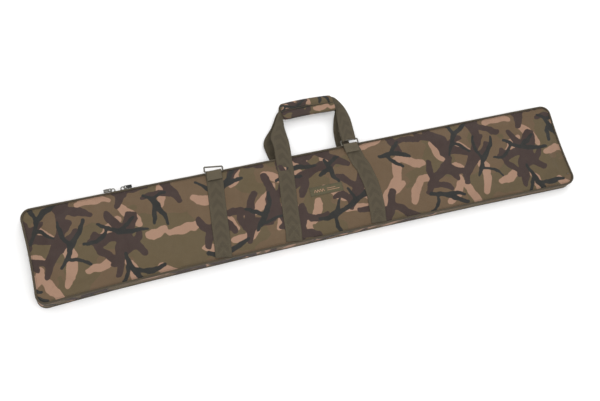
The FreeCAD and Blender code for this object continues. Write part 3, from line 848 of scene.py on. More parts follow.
def crown_height(x, y, edge):
    """Rise of the filled panel above its edge: steep by the piping, then a low rippled belly."""
    steep = np.sin(np.clip(edge / CROWN_RUN, 0, 1) * math.pi / 2) ** 0.85
    belly = 0.0022 * np.clip(edge / 0.12, 0, 1) * (1 - 0.5 * (x / HALF_X))
    fade = np.clip(edge / 0.03, 0, 1)
    ripple = 0.0030 * layered_noise(x * 0.6, y, 0.10, 61) + 0.0012 * layered_noise(x, y * 0.7, 0.035, 71)
    return CROWN * steep + belly + ripple * fade


def simulated_panel():
    """The front panel's cloth: a pinned sheet blown up a little from below, with slack to pucker."""
    x, y, edge, columns = panel_grid(PANEL_INSET, PANEL_STEP, PANEL_ROWS)
    z = PANEL_Z + crown_height(x, y, edge)
    start = settled(np.column_stack([x, y, z]))
    sheet = piece_of("front_panel_pad", start, grid_faces(columns, PANEL_ROWS), CAMO)
    group = sheet.vertex_groups.new(name="held")
    held = np.nonzero(edge < 0.003)[0]
    group.add([int(i) for i in held], 1.0, "REPLACE")
    cloth = sheet.modifiers.new("fill", "CLOTH")
    options = cloth.settings
    options.quality = 4
    options.mass = 0.3
    options.tension_stiffness = 12
    options.compression_stiffness = 12
    options.shear_stiffness = 4
    options.bending_stiffness = 0.4
    options.shrink_min = -0.012
    options.shrink_max = -0.012
    options.use_pressure = True
    options.uniform_pressure_force = 0.6
    options.effector_weights.gravity = 0
    options.vertex_group_mass = "held"
    cloth.collision_settings.use_collision = False
    cloth.point_cache.frame_start = 1
    cloth.point_cache.frame_end = FILL_FRAMES + 2
    for number in range(1, FILL_FRAMES + 1):
        scene.frame_set(number)
    deps = bpy.context.evaluated_depsgraph_get()
    blown = sheet.evaluated_get(deps).to_mesh()
    after = np.zeros(len(blown.vertices) * 3)
    blown.vertices.foreach_get("co", after)
    sheet.evaluated_get(deps).to_mesh_clear()
    sheet.modifiers.remove(cloth)
    scene.frame_set(1)
    step = after.reshape(-1, 3) - start
    reach = np.linalg.norm(step, axis=1)
    step *= (np.minimum(reach, FILL_LIMIT) / np.maximum(reach, 1e-9))[:, None]
    sheet.data.vertices.foreach_set("co", (start + step).ravel())
    sheet.data.update()
    return sheet, x, y


def front_panel():
    """Close the cloth's sheet into a pad: a fine top, a short side and one flat underside."""
    sheet, x, y = simulated_panel()
    add_values(sheet, "flat_x", x)
    add_values(sheet, "flat_y", y)
    split = sheet.modifiers.new("finer", "SUBSURF")
    split.levels = 1
    split.render_levels = 1
    split.boundary_smooth = "PRESERVE_CORNERS"
    deps = bpy.context.evaluated_depsgraph_get()
    fine = bpy.data.meshes.new_from_object(sheet.evaluated_get(deps))
    sheet.modifiers.remove(split)
    sheet.data = fine
    data = bmesh.new()
    data.from_mesh(sheet.data)
    rim = [e for e in data.edges if e.is_boundary]
    drop = bmesh.ops.extrude_edge_only(data, edges=rim)
    skirt = [g for g in drop["geom"] if isinstance(g, bmesh.types.BMVert)]
    for vert in skirt:
        vert.co.z -= PANEL_Z - LINING_Z - PANEL_LIFT
        vert.co.x *= 1 - SIDE_INWARD / HALF_X
        vert.co.y *= 1 - SIDE_INWARD / HALF_Y
    loop = [e for e in drop["geom"] if isinstance(e, bmesh.types.BMEdge) and e.is_boundary]
    bmesh.ops.holes_fill(data, edges=loop, sides=0)
    bmesh.ops.recalc_face_normals(data, faces=data.faces)
    data.to_mesh(sheet.data)
    data.free()
    sheet.data.polygons.foreach_set("use_smooth", [True] * len(sheet.data.polygons))
    print_on(sheet, values_of(sheet.data, "flat_x"), values_of(sheet.data, "flat_y"))
    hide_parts("front_panel_cloth", "front_panel_foam")
    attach(sheet, "lid")
    return sheet


front_pad = front_panel()


def drape_tree(pieces):
    """A tree for finding heights. It leaves out faces with many corners, such as end caps."""
    points = []
    faces = []
    for piece in pieces:
        base = len(points)
        points += [v.co.copy() for v in piece.data.vertices]
        faces += [[base + i for i in p.vertices] for p in piece.data.polygons if len(p.vertices) < 9]
    return BVHTree.FromPolygons(points, faces)


def top_at(tree, x, y, fallback):
    """Height of the surface at a place, or the fallback where there is none."""
    hit = tree.ray_cast(Vector((x, y, 0.2)), Vector((0, 0, -1)))
    return hit[0].z if hit[0] is not None else fallback


def laid(line, tree, lift=0.0001):
    """Set each point of a line just above the surface under it."""
    for point in line:
        point[2] = top_at(tree, point[0], point[1], point[2]) + lift
    return line


# ---------------------------------------------------------------- piping


def piping(name, z, body, with_sag, node_name):
    """The bound cord round a panel, slightly uneven as sewn cord is."""
    outline = rounded_outline(HALF_X - CORD, HALF_Y - CORD, CORNER - CORD, 0.005)
    path = settled(lifted(outline, z), with_sag)
    wobble = value_noise(path[:, 0] * 1.0 + path[:, 1] * 3.0, path[:, 1], 0.03, 91) - 0.5
    made = tube(name, path, CORD * (1 + 0.12 * wobble), PIPING_CLOTH, closed=True, sides=12)
    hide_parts(node_name)
    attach(made, body)
    return made


front_cord = piping("front_piping_cord", PIPING_Z, "lid", True, "front_piping")
piping("rear_piping_cord", REAR_PIPING_Z, "base", False, "rear_piping")
over_front = drape_tree([front_pad, front_cord])


def piping_stitches():
    """The row of stitches that holds the front piping, just inside it."""
    inset = 0.0105
    outline = rounded_outline(HALF_X - inset, HALF_Y - inset, CORNER - inset, 0.005)
    line = laid(settled(lifted(outline, PIPING_Z)), over_front)
    line = np.vstack([line, line[:1]])
    made = stitches("front_seam_stitches", [(line, (0, 0, 1))], DARK_THREAD, 0.0045, 0.003, 0.00035)
    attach(made, "lid")


piping_stitches()

# ---------------------------------------------------------------- walls of the case


def wall(name, outline, z_low, z_high, rows, bulge, thick, seed):
    """A padded wall along an outline, with an outer face that bulges and creases, closed all round."""
    outline = np.asarray(outline, float)
    tangent = directions(lifted(outline, 0), False)[:, :2]
    outward = np.column_stack([tangent[:, 1], -tangent[:, 0]])
    run = np.concatenate([[0], np.cumsum(np.linalg.norm(np.diff(outline, axis=0), axis=1))])
    count = len(outline)
    heights = np.linspace(0, 1, rows)
    outer = []
    inner = []
    flat = []
    for k in range(count):
        x, y = outline[k]
        drop = float(sag(x, y))
        curve = float(bow(x, y))
        spread = float(flare(x, y))
        for t in heights:
            z = z_low + t * (z_high + drop - z_low)
            puff = bulge * math.sin(math.pi * t)
            crease = 0.0022 * float(layered_noise(run[k] * 0.5, t * 0.05, 0.03, seed))
            crease *= math.sin(math.pi * t)
            push = outward[k] * (puff + crease)
            outer.append((x + push[0] + spread, y + push[1] + curve, z))
            inward = outward[k] * -thick
            inner.append((x + inward[0] + spread, y + inward[1] + curve, z))
            flat.append((run[k], t * (z_high - z_low)))
    points = outer + inner
    size = len(outer)
    faces = grid_faces(count, rows, flip=True)
    faces += grid_faces(count, rows, offset=size)
    for k in range(count - 1):
        for r in (0, rows - 1):
            a = k * rows + r
            b = a + rows
            faces.append([a, b, b + size, a + size])
    for r in range(rows - 1):
        for k in (0, count - 1):
            a = k * rows + r
            faces.append([a, a + 1, a + 1 + size, a + size])
    made = piece_of(name, points, faces, CAMO)
    made.data.materials.append(LINING)
    inner_faces = (count - 1) * (rows - 1)
    for number in range(inner_faces, 2 * inner_faces):
        made.data.polygons[number].material_index = 1
    facing_out(made)
    flat = np.array(flat + flat)
    return made, flat


def walls():
    """The gusset: one run along the zip, and one along the fold that bends as the lid opens."""
    inset = 0.0022
    outline = rounded_outline(HALF_X - inset, HALF_Y - inset, CORNER - inset, 0.0042)
    zip_side = open_part(outline, True)
    made, flat = wall("gusset_zip_side", zip_side, REAR_PIPING_Z, ZIP_Z - 0.0086, 9, 0.0016, 0.0035, 101)
    print_on(made, flat[:, 0] + 0.31, flat[:, 1] + 0.02)
    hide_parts("gusset_top", "gusset_left", "gusset_right")
    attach(made, "base")

    fold_side = open_part(outline, False)
    fold_top = PIPING_Z - CORD * 0.4
    made, flat = wall("gusset_fold_side", fold_side, REAR_PIPING_Z, fold_top, 17, 0.0012, 0.0022, 111)
    print_on(made, flat[:, 0] + 0.55, flat[:, 1] - 0.07)
    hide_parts("gusset_bottom", "hinge_gusset")
    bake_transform(made)


walls()

# ---------------------------------------------------------------- rear panel and linings


PAD_STEP = 0.0125
PAD_ROWS = 27
QUILT_PITCH = 0.075


def flat_pad(name, inset, z_low, z_high, material, body, with_sag, quilt, replaced):
    """A closed flat pad between two heights. A quilt above 0 is raised from the upper face, and one
    below 0 hangs from the lower face.
    """
    x, y, edge, columns = panel_grid(inset, PAD_STEP, PAD_ROWS)
    rise = np.zeros(len(x))
    if quilt:
        a = np.abs(np.sin((x + y) * math.pi / QUILT_PITCH))
        b = np.abs(np.sin((x - y) * math.pi / QUILT_PITCH))
        rise = rise + quilt * np.minimum(a, b) ** 0.5 * np.clip(edge / 0.02, 0, 1)
    upper = np.column_stack([x, y, np.full(len(x), z_high) + (rise if quilt >= 0 else 0)])
    lower = np.column_stack([x, y, np.full(len(x), z_low)])
    if quilt < 0:
        lower[:, 2] += rise
    both = settled(np.vstack([upper, lower]), with_sag)
    faces = slab_faces(columns, PAD_ROWS)
    made = piece_of(name, both, faces, material)
    facing_out(made)
    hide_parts(*replaced)
    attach(made, body)
    return made, both


rear_pad, rear_points = flat_pad(
    "rear_panel_pad", 0.0060, 0.0018, REAR_TOP - 0.0012, CAMO, "base", False, 0.0,
    ("rear_panel_cloth", "rear_panel_foam"),
)
print_on(rear_pad, rear_points[:, 0] + 0.62, rear_points[:, 1])
flat_pad(
    "rear_quilted_lining", 0.0066, REAR_TOP - 0.0011, REAR_TOP, LINING, "base", False, 0.0022,
    ("rear_panel_lining",),
)
flat_pad(
    "front_quilted_lining", 0.0078, LINING_Z, LINING_Z + 0.0008, LINING, "lid", True, -0.0016,
    ("front_panel_lining",),
)

# ---------------------------------------------------------------- zip

TOOTH_PITCH = 0.0026
TOOTH_DEPTH = 0.0012


def zip_path(inset, z):
    """The line of the opening, a little inside the case's outline."""
    outline = rounded_outline(HALF_X - inset, HALF_Y - inset, CORNER - inset, 0.003)
    return settled(lifted(open_part(outline, True), z))


def zip_tape(name, z_low, z_high, body, replaced):
    """A thin woven tape standing on edge along the opening."""
    outer = zip_path(0.0022, 0)
    inner = zip_path(0.0032, 0)
    points = []
    for a, b in zip(outer, inner):
        for side, z in ((a, z_low), (a, z_high), (b, z_high), (b, z_low)):
            points.append((side[0], side[1], side[2] + z))
    count = len(outer)
    faces = grid_faces(count, 4, close_columns=True)
    faces += [[0, 1, 2, 3], [(count - 1) * 4 + k for k in (3, 2, 1, 0)]]
    made = piece_of(name, points, faces, ZIP_TAPE)
    facing_out(made)
    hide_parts(replaced)
    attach(made, body)


def zip_teeth(name, z, direction, phase, body, replaced):
    """One half's row of teeth: each has a shank on the tape side and a wider head at the middle."""
    path = zip_path(0.0027, z)
    total = np.linalg.norm(np.diff(path, axis=0), axis=1).sum()
    spots = resampled(path, int(total / TOOTH_PITCH))
    along = directions(spots, False)
    spots = spots + along * TOOTH_PITCH * phase
    points = []
    faces = []
    up = np.array((0, 0, direction), float)
    profile = ((0.0, 0.30, 0.8), (0.0012, 0.26, 1.0), (0.0021, 0.42, 1.0), (0.0029, 0.34, 0.8))
    for centre, tangent in zip(spots, along):
        out = np.array((tangent[1], -tangent[0], 0))
        base = len(points)
        for height, half, deep in profile:
            for a, b in ((-1, -1), (1, -1), (1, 1), (-1, 1)):
                corner = tangent * a * half * TOOTH_PITCH + out * b * TOOTH_DEPTH * deep
                points.append(centre + up * height + corner)
        faces += grid_faces(4, 4, close_columns=True, offset=base)
        faces.append([base + k for k in (3, 2, 1, 0)])
        faces.append([base + 12 + k for k in range(4)])
    made = piece_of(name, points, faces, ZIP_TEETH, smooth=False)
    facing_out(made)
    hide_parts(replaced)
    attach(made, body)


zip_tape("zip_tape_lower", ZIP_Z - 0.0095, ZIP_Z - 0.0026, "base", "zip_tape_rear")
zip_tape("zip_tape_upper", ZIP_Z + 0.0026, ZIP_Z + 0.0062, "lid", "zip_tape_front")
zip_teeth("zip_teeth_lower", ZIP_Z - 0.0031, 1, 0.0, "base", "zip_coil_rear")
zip_teeth("zip_teeth_upper", ZIP_Z + 0.0031, -1, 0.5, "lid", "zip_coil_front")

# ---------------------------------------------------------------- straps on the front panel


def strap_edges(centre_line, width, tree, lift, step=0.003):
    """Two edge lines of a strap that lies on the panel, from a centre line of (x, y) points."""
    line = soft_line([(x, y, 0) for x, y in centre_line], step)
    along = directions(line, False)
    side = np.cross(along, (0, 0, 1))
    left = line - side * width / 2
    right = line + side * width / 2
    for edge in (left, right):
        heights = [top_at(tree, p[0], p[1], PIPING_Z) for p in edge]
        edge[:, 2] = np.array(heights) + lift
    middle = np.array([top_at(tree, p[0], p[1], PIPING_Z) for p in line]) + lift
    need = np.maximum(middle - (left[:, 2] + right[:, 2]) / 2, 0)
    for edge in (left, right):
        edge[:, 2] = smoothed(edge[:, 2] + need, 5)
    return left, right


def smoothed(values, passes):
    """Round off heights without letting them sink into what lies under them."""
    values = np.array(values, float)
    for _ in range(passes):
        inner = (values[:-2] + 2 * values[1:-1] + values[2:]) / 4
        values[1:-1] = np.maximum(values[1:-1], inner) * 0.5 + inner * 0.5
    return values


STRAP_WIDTH = 0.050
STRAP_REACH = 0.1335
STRAP_LIFT = 0.0011
LEAN_LEFT = math.tan(math.radians(7.5))
LEAN_MIDDLE = math.tan(math.radians(8.2))
LEFT_X = -0.307
MIDDLE_X = -0.087
RIGHT_RING_LOW, RIGHT_RING_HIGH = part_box("ring_right")
RIGHT_X = (RIGHT_RING_LOW.x + RIGHT_RING_HIGH.x) / 2


def bottom_y(x):
    """Y of a front strap's lower end."""
    return -STRAP_REACH + float(bow(x, -HALF_Y))


def box_stitch(left, right, start, end, inset=0.1):
    """Stitch lines of a sewn box with a cross between two stations of a strap."""
    span = right - left
    a = left[start] + span[start] * inset
    b = right[start] - span[start] * inset
    c = right[end] - span[end] * inset
    d = left[end] + span[end] * inset
    return [(a, b), (b, c), (c, d), (d, a), (a, c), (b, d)]


def sewn(pairs, tree):
    """Turn pairs of ends into lines that lie on the surface under them."""
    lines = []
    for start, end in pairs:
        lines.append((laid(np.linspace(start, end, 12), tree), (0, 0, 1)))
    return lines


def front_strap(name, centre_line, node_name):
    """A strap down the front panel, and its two edge lines."""
    left, right = strap_edges(centre_line, STRAP_WIDTH, over_front, STRAP_LIFT)
    made = webbing(name, left, right, STRAP)
    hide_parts(node_name)
    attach(made, "lid")
    return made, left, right


left_line = [(LEFT_X + LEAN_LEFT * y, y) for y in (bottom_y(LEFT_X), -0.06, 0.0, 0.06, STRAP_REACH)]
strap_left, left_l, left_r = front_strap("strap_left_webbing", left_line, "front_strap_left")
right_line = [
    (0.172, bottom_y(0.172)),
    (0.176, -0.081),
    (0.183, -0.017),
    (0.175, 0.050),
    (0.161, 0.085),
    (0.153, STRAP_REACH),
]
strap_right, right_l, right_r = front_strap("strap_right_webbing", right_line, "front_strap_right")

# ---------------------------------------------------------------- handle

HANDLE_SLOPE = math.radians(12)
ROOT_Y = 0.175
ROOT_Z = 0.0602
REAR_ROOT_Y = 0.150
REAR_ROOT_Z = 0.0004
REAR_SLOPE = math.radians(10)


def on_handle(u, v, w=0.0):
    """A point of the handle's sloping plane: u along the case, v away from it and w above the plane."""
    y = ROOT_Y + v * math.cos(HANDLE_SLOPE) + w * math.sin(HANDLE_SLOPE)
    z = ROOT_Z - v * math.sin(HANDLE_SLOPE) + w * math.cos(HANDLE_SLOPE)
    return (u, y, z)


def handle_line(places):
    """Points of the handle's plane, from their u, v and w."""
    return [on_handle(*place_at) for place_at in places]


def on_rear_handle(u, v, w=0.0):
    """A point of the rear webbing's rising plane, measured in the same way."""
    y = REAR_ROOT_Y + v * math.cos(REAR_SLOPE) - w * math.sin(REAR_SLOPE)
    z = REAR_ROOT_Z + v * math.sin(REAR_SLOPE) + w * math.cos(REAR_SLOPE)
    return (u, y, z)


MIDDLE_ROWS = 190


def middle_strap():
    """One run of webbing: down the panel, over the edge, up the leg and into the grip."""
    centre = [(MIDDLE_X + LEAN_MIDDLE * y, y) for y in (bottom_y(MIDDLE_X), -0.06, 0.0, 0.06, 0.118)]
    left, right = strap_edges(centre, STRAP_WIDTH, over_front, STRAP_LIFT)
    outer = handle_line((
        (-0.0885, 0.002, 0.001), (-0.0870, 0.040, 0.002), (-0.0640, 0.078, 0.004),
        (-0.0395, 0.118, 0.005), (-0.0290, 0.142, 0.003), (-0.0200, 0.1500, 0.001),
    ))
    inner = handle_line((
        (-0.0370, 0.002, 0.001), (-0.0345, 0.040, -0.001), (-0.0330, 0.066, -0.003),
        (-0.0300, 0.085, -0.003), (-0.0290, 0.096, -0.001), (-0.0200, 0.099, 0.001),
    ))
    skip = max(4, len(left) // 30)
    left_full = resampled(soft_line(np.vstack([left[::skip], outer]), 0.002), MIDDLE_ROWS)
    right_full = resampled(soft_line(np.vstack([right[::skip], inner]), 0.002), MIDDLE_ROWS)
    made = webbing("middle_strap_and_leg", left_full, right_full, STRAP)
    run = ("front_strap_middle", "handle_front_root", "handle_front_left_leg", "handle_front_grip_band")
    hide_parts(*run)
    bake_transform(made)
    return left_full, right_full


middle_l, middle_r = middle_strap()


RING_WIRE = (RIGHT_RING_HIGH.z - RIGHT_RING_LOW.z) / 2
RING_BAR = (RIGHT_RING_LOW.y + RING_WIRE, RIGHT_RING_LOW.z + RING_WIRE)
UPPER_BAR_Y = RIGHT_RING_HIGH.y - RING_WIRE
TAB_LOW_Y = 0.110
TAB_WIDTH = 0.046
LEFT_RING_X = LEFT_X + LEAN_LEFT * RING_BAR[0]
TAB_STOP = 0.010
TAB_LIFT = 0.0034
TAB_GAP = 0.0019
TAB_THICK = 0.0014
BORE = RING_WIRE + 0.0004 + WEB / 2


def ring_tab(name, node_name, x_mid, lean):
    """A tab folded round a ring's lower bar, its two ends sewn on the strap below."""
    bar_y, bar_z = RING_BAR
    ys = np.linspace(TAB_LOW_Y, bar_y - TAB_STOP, 8)
    base = [top_at(over_straps, x_mid + lean * (y - bar_y), y, PIPING_Z) + TAB_LIFT for y in ys]
    profile = list(zip(ys, base))
    for angle in np.radians(np.linspace(-110, 110, 14)):
        profile.append((bar_y + BORE * math.cos(angle), bar_z + BORE * math.sin(angle)))
    profile += [(y, z + TAB_GAP) for y, z in zip(ys[::-1], base[::-1])]
    line = soft_line([(0, y, z) for y, z in profile], 0.002)
    left = line.copy()
    right = line.copy()
    for edge, side in ((left, -1), (right, 1)):
        edge[:, 0] = x_mid + lean * (line[:, 1] - bar_y) + side * TAB_WIDTH / 2
    made = webbing(name, left, right, PLAIN_WEB, TAB_THICK)
    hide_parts(node_name)
    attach(made, "lid")
    return made


over_straps = drape_tree([front_pad, front_cord, strap_left, strap_right])
left_tab = ring_tab("ring_tab_left_webbing", "ring_tab_left", LEFT_RING_X, LEAN_LEFT)
right_tab = ring_tab("ring_tab_right_webbing", "ring_tab_right", RIGHT_X, 0.0)


def right_leg():
    """The right leg, looped round the ring's upper bar and rising to the grip."""
    bar_y = UPPER_BAR_Y
    bar_z = RING_BAR[1]
    loop_left = []
    loop_right = []
    for angle in np.radians(np.linspace(60, 300, 15)):
        y = bar_y + BORE * math.cos(angle)
        z = bar_z + BORE * math.sin(angle)
        loop_left.append((0.1295, y, z))
        loop_right.append((0.1745, y, z))
    loop_left.reverse()
    loop_right.reverse()
    inner = handle_line((
        (0.1300, -0.012, 0.0035), (0.1320, 0.014, 0.001), (0.1390, 0.050, -0.001),
        (0.1455, 0.080, -0.003), (0.1490, 0.094, -0.001), (0.1410, 0.099, 0.001),
    ))
    outer = handle_line((
        (0.1750, -0.012, 0.0035), (0.1790, 0.014, 0.001), (0.1820, 0.054, 0.003),
        (0.1760, 0.098, 0.005), (0.1600, 0.138, 0.003), (0.1420, 0.1500, 0.001),
    ))
    under = handle_line(((0.1305, 0.020, -0.0022), (0.1300, -0.008, -0.0016)))
    under_right = handle_line(((0.1780, 0.020, -0.0022), (0.1745, -0.008, -0.0016)))
    left = resampled(soft_line(np.vstack([under, loop_left, inner]), 0.0015), 120)
    right = resampled(soft_line(np.vstack([under_right, loop_right, outer]), 0.0015), 120)
    made = webbing("right_leg_webbing", left, right, STRAP)
    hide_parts("handle_front_right_leg")
    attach(made, "front_handle")


right_leg()


REAR_RIGHT_X = 0.168
FLOOR_GAP = 0.0009


def rear_legs():
    """The rear webbing: up from under the panel, through the air and into the grip from below."""
    shared = (-0.125, -0.06, 0.0, 0.06, 0.118)
    legs = (
        (
            "rear_leg_left_webbing",
            ("rear_strap_left", "handle_rear_root_left", "handle_rear_left_leg"),
            MIDDLE_X,
            (-0.098, -0.050),
            ((-0.105, 0.062, 0.004), (-0.068, 0.108, 0.004), (-0.040, 0.148, 0.002), (-0.018, 0.156, 0.0)),
            ((-0.056, 0.062, 0.001), (-0.050, 0.096, 0.0), (-0.034, 0.124, 0.0), (-0.018, 0.128, 0.0)),
        ),
        (
            "rear_leg_right_webbing",
            ("rear_strap_right", "handle_rear_root_right", "handle_rear_right_leg", "handle_rear_grip_band"),
            REAR_RIGHT_X,
            (0.128, 0.174),
            ((0.128, 0.055, 0.004), (0.140, 0.096, 0.0), (0.150, 0.122, 0.0), (0.140, 0.128, 0.0)),
            ((0.172, 0.055, 0.001), (0.178, 0.100, 0.003), (0.162, 0.144, 0.002), (0.140, 0.156, 0.0)),
        ),
    )
    for name, replaced, strap_x, root, left_places, right_places in legs:
        left = [(strap_x - STRAP_WIDTH / 2, y, FLOOR_GAP) for y in shared]
        right = [(strap_x + STRAP_WIDTH / 2, y, FLOOR_GAP) for y in shared]
        left += [(root[0], REAR_ROOT_Y, 0.0012)] + [on_rear_handle(*place_at) for place_at in left_places]
        right += [(root[1], REAR_ROOT_Y, 0.0012)] + [on_rear_handle(*place_at) for place_at in right_places]
        left = resampled(soft_line(left, 0.002), 170)
        right = resampled(soft_line(right, 0.002), 170)
        left[:, 2] = np.maximum(left[:, 2], FLOOR_GAP)
        right[:, 2] = np.maximum(right[:, 2], FLOOR_GAP)
        made = webbing(name, left, right, STRAP)
        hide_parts(*replaced)
        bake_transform(made)


rear_legs()


GRIP_LEFT = -0.027
GRIP_RIGHT = 0.150
GRIP_LENGTH = GRIP_RIGHT - GRIP_LEFT
GRIP_CENTRE = 0.1262
GRIP_HALF = 0.0292
GRIP_ARCH = 0.0035


def along_grip(inset, offset, height):
    """A line along the grip, bent like it and stopping short of its ends."""
    line = []
    for u in np.linspace(GRIP_LEFT + inset, GRIP_RIGHT - inset, 40):
        arch = GRIP_ARCH * (2 * (u - GRIP_LEFT) / GRIP_LENGTH - 1) ** 2
        line.append(on_handle(u, GRIP_CENTRE + offset - arch, height))
    return line


def grip():
    """Padded camouflage sleeve: two bands side by side with a flap edge between them."""
    rows = 64
    low = -0.0078
    high = 0.0068
    around = []
    for k in range(72):
        angle = 2 * math.pi * k / 72
        c, s = math.cos(angle), math.sin(angle)
        power = 0.42
        v = GRIP_HALF * math.copysign(abs(c) ** power, c)
        w = math.copysign(abs(s) ** power, s)
        w = (high + low) / 2 + (high - low) / 2 * w
        if w > 0:
            seam = v / 0.0035
            w += 0.0011 * math.copysign(1 - math.exp(-abs(seam)), v) - 0.0036 * math.exp(-(seam * seam))
            w += 0.0011 * math.cos((abs(v) / GRIP_HALF - 0.5) * math.pi)
        around.append((v, w))
    points = []
    flat = []
    for t in np.linspace(0, 1, rows):
        u = GRIP_LEFT + t * GRIP_LENGTH
        end = min(t, 1 - t) * GRIP_LENGTH
        pinch = 1 - 0.16 * math.exp(-((end / 0.004) ** 2)) - 0.04 * math.exp(-end / 0.02)
        arch = -GRIP_ARCH * (2 * t - 1) ** 2
        for k, (v, w) in enumerate(around):
            dent = 0.0010 * float(layered_noise(u, v, 0.022, 131)) * (1 if w > 0 else 0.3)
            points.append(on_handle(u, GRIP_CENTRE + arch + v * pinch, w * pinch + dent))
            flat.append((u, v + (0.04 if w < 0 else 0.0)))
    faces = grid_faces(rows, 72, close_columns=True)
    faces += [[k for k in range(72)][::-1], [(rows - 1) * 72 + k for k in range(72)]]
    made = piece_of("grip_sleeve", points, faces, GRIP_CAMO)
    facing_out(made)
    smooth_more = made.modifiers.new("finer", "SUBSURF")
    smooth_more.levels = 1
    flat = np.array(flat)
    add_values(made, "flat_x", flat[:, 0])
    add_values(made, "flat_y", flat[:, 1])
    deps = bpy.context.evaluated_depsgraph_get()
    fine = bpy.data.meshes.new_from_object(made.evaluated_get(deps))
    made.modifiers.remove(smooth_more)
    made.data = fine
    print_on(made, values_of(fine, "flat_x") * 1.2 - 0.62, values_of(fine, "flat_y") * 1.6 + 0.01)
    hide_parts("grip_wrap", "grip_padding")
    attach(made, "front_handle")
    flap = along_grip(0.001, -0.0012, 0.0062)
    edge = tube("grip_flap_edge", flap, 0.0011, PIPING_CLOTH, sides=8)
    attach(edge, "front_handle")
    seam = along_grip(0.006, 0.0040, 0.0086)
    lift = np.array((0, math.sin(HANDLE_SLOPE), math.cos(HANDLE_SLOPE)))
    rows_of = stitches("grip_stitches", [(seam, lift)], DARK_THREAD, 0.004, 0.0028, 0.0004)
    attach(rows_of, "front_handle")


grip()

# ---------------------------------------------------------------- sewing and the label


def strap_sewing():
    """Edge rows down each strap, boxes with crosses at their ends."""
    middle = bpy.data.objects["middle_strap_and_leg"]
    under = [front_pad, front_cord, strap_left, strap_right, middle, left_tab, right_tab]
    tree = drape_tree(under)
    lines = []
    for left, right in ((left_l, left_r), (right_l, right_r)):
        count = len(left)
        pairs = box_stitch(left, right, 2, max(3, int(count * 0.14)))
        lines += sewn(pairs, tree)
        span = right - left
        for inset in (0.06, 0.94):
            row = left + span * inset
            line = row[int(count * 0.14) : int(count * 0.82)].copy()
            lines.append((laid(line, tree), (0, 0, 1)))
    span = middle_r - middle_l
    on_panel = int(np.argmax(middle_l[:, 1] > 0.095))
    for inset in (0.06, 0.94):
        line = (middle_l + span * inset)[4:on_panel].copy()
        lines.append((laid(line, tree), (0, 0, 1)))
    lines += sewn(box_stitch(middle_l, middle_r, 3, 22), tree)
    for x_mid, lean in ((LEFT_RING_X, LEAN_LEFT), (RIGHT_X, 0.0)):
        corners = []
        for y in (TAB_LOW_Y + 0.003, RING_BAR[0] - 0.010):
            for side in (-0.019, 0.019):
                corners.append(np.array((x_mid + lean * (y - RING_BAR[0]) + side, y, 0.06)))
        a, b, d, c = corners
        lines += sewn([(a, b), (b, c), (c, d), (d, a), (a, c), (b, d)], tree)
    made = stitches("strap_stitches", lines, THREAD, 0.0042, 0.0029, 0.00038)
    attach(made, "lid")


strap_sewing()


def label():
    """A woven label with a stitched border and a plain mark, lying on the panel."""
    low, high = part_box("blank_label")
    columns = 40
    rows = 14
    points = []
    thick = 0.0008
    xs = np.linspace(low.x, high.x, columns)
    ys = np.linspace(low.y, high.y, rows)
    backs = []
    for x in xs:
        for y in ys:
            near = min(x - low.x, high.x - x, y - low.y, high.y - y)
            rim = 0.00025 if near < 0.004 else 0.0
            base = top_at(over_front, x, y, 0.058)
            points.append((x, y, base + thick + rim))
            backs.append((x, y, base - 0.0004))
    made = piece_of("label_patch", points + backs, slab_faces(columns, rows), LABEL)
    facing_out(made)
    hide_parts("blank_label")
    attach(made, "lid")
    inset = 0.0024
    corner = [(low.x + inset, low.y + inset), (high.x - inset, low.y + inset)]
    corner += [(high.x - inset, high.y - inset), (low.x + inset, high.y - inset)]
    tree = drape_tree([made])
    pairs = []
    for a, b in zip(corner, corner[1:] + corner[:1]):
        pairs.append((np.array((*a, 0.06)), np.array((*b, 0.06))))
    rows_of = stitches("label_stitches", sewn(pairs, tree), DARK_THREAD, 0.003, 0.0021, 0.0003)
    middle = (low + high) / 2
    marks = []
    zigzag = []
    for k in range(9):
        zigzag.append((low.x + 0.014 + 0.0042 * k, middle.y + (0.0045 if k % 2 else -0.0045), 0.06))
    bars = [zigzag]
    for across, stop in ((-0.003, 0.012), (0.003, 0.024)):
        y = middle.y + across
        bars.append([(low.x + 0.056, y, 0.06), (high.x - stop, y, 0.06)])
    for bar in bars:
        line = laid(resampled(np.array(bar, float), 60), tree)
        marks.append(tube("mark", line, 0.0009, TAN_THREAD, sides=8, up=(0.05, 0.1, 1)))
    mark = joined("label_mark", marks)
    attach(mark, "lid")
    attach(rows_of, "lid")


label()

# ---------------------------------------------------------------- metal


def dress(node_name, material):
    """Give a carried-over CAD node its material."""
    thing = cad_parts[node_name]
    thing.data.materials.clear()
    thing.data.materials.append(material)
    for face in thing.data.polygons:
        face.material_index = 0


dress("ring_left", RING_METAL)
dress("ring_right", RING_METAL)
for name in ("slider_left", "slider_right", "zip_stop_left", "zip_stop_right"):
    dress(name, PULL_METAL)


def ring_path(centre, half_x, half_y, tip, count=28):
    """An oval lying flat, raised a little on its outer side."""
    points = []
    for k in range(count):
        angle = 2 * math.pi * k / count
        y = half_y * math.sin(angle)
        points.append((centre[0] + half_x * math.cos(angle), centre[1] + y, centre[2] + tip * y))
    return points


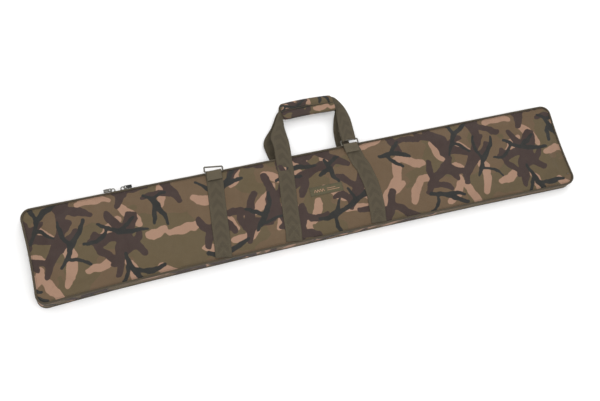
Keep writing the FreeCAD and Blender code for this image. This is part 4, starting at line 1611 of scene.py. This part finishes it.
def zip_pull(name, node_name, side, body, tab_material):
    """A wire link through the slider's eye, a second link, and a tab with raised ribs that lies flat."""
    pin_y = 0.1415
    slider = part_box("slider_left" if side < 0 else "slider_right")
    pin_x = (slider[0].x + slider[1].x) / 2
    z = ZIP_Z + 0.0060
    out_y = 0.0052
    wire = 0.0017
    pin = [(pin_x, pin_y, ZIP_Z - 0.0042), (pin_x, pin_y, z)]
    pin_piece = tube("pin", resampled(np.array(pin), 6), 0.0011, PULL_METAL, sides=8, up=(1, 0, 0))
    links = [pin_piece]
    shapes = ((0.0070, out_y * 0.55, 0.0, 0.0062, 0.0046, 0.2), (0.0148, out_y, 0.0006, 0.0050, 0.0042, -0.3))
    for along, out, up, half_x, half_y, tip in shapes:
        path = ring_path((pin_x + side * along, pin_y + out, z + up), half_x, half_y, tip)
        links.append(tube("link", path, wire, PULL_METAL, closed=True, sides=10))
    links = joined(name + "_links", links)
    start = pin_x + side * 0.0162
    end = pin_x + side * 0.0335
    x0, x1 = min(start, end), max(start, end)
    y0 = pin_y + out_y - 0.0050
    y1 = pin_y + out_y + 0.0050
    parts = [rounded_block("tab", (x0, y0, z - 0.0022), (x1, y1, z + 0.0022), 0.0016, tab_material)]
    for k in range(4):
        x = start + side * (0.0048 + k * 0.0034)
        low = (x - 0.0008, y0 + 0.0006, z - 0.0029)
        high = (x + 0.0008, y1 - 0.0006, z + 0.0029)
        parts.append(rounded_block("rib", low, high, 0.0006, tab_material, 2))
    tab = joined(name + "_tab", parts)
    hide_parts(node_name)
    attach(links, body)
    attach(tab, body)


zip_pull("pull_left", "pull_left", -1, "left_pull", PULL_METAL)
zip_pull("pull_right", "pull_right", 1, "right_pull", BLACK_PULL)

# ---------------------------------------------------------------- floor and light


def floor():
    """A plain pale floor, just under the case."""
    material, tree, shader = surface("floor", 0.9)
    coordinate, _ = place(tree)
    cloud = noise_at(tree, coordinate, 1.2, 2.0)
    tone = mix(tree, cloud, linear(252, 252, 252), linear(248, 248, 248))
    tree.links.new(tone, shader.inputs["Base Color"])
    shader.inputs["Specular IOR Level"].default_value = 0.1
    reach = 12
    corners = [(-reach, -reach, 0), (reach, -reach, 0), (reach, reach, 0), (-reach, reach, 0)]
    made = piece_of("floor", corners, [(0, 1, 2, 3)], material, smooth=False)
    made.location.z = -0.0002


floor()


def area_light(name, place_at, target, size, power):
    data = bpy.data.lights.new(name, "AREA")
    data.shape = "DISK"
    data.size = size
    data.energy = power
    made = bpy.data.objects.new(name, data)
    made.location = place_at
    made.rotation_euler = (Vector(target) - Vector(place_at)).to_track_quat("-Z", "Y").to_euler()
    scene.collection.objects.link(made)


area_light("key", (-0.7, -0.5, 2.8), (0, 0, 0), 1.8, 34)
area_light("fill", (1.0, 1.2, 2.4), (0, 0, 0), 2.2, 16)
world = bpy.data.worlds.new("studio")
world.use_nodes = True
world.node_tree.nodes["Background"].inputs["Color"].default_value = (1, 1, 1, 1)
world.node_tree.nodes["Background"].inputs["Strength"].default_value = 0.86
scene.world = world
scene.view_settings.view_transform = "Standard"
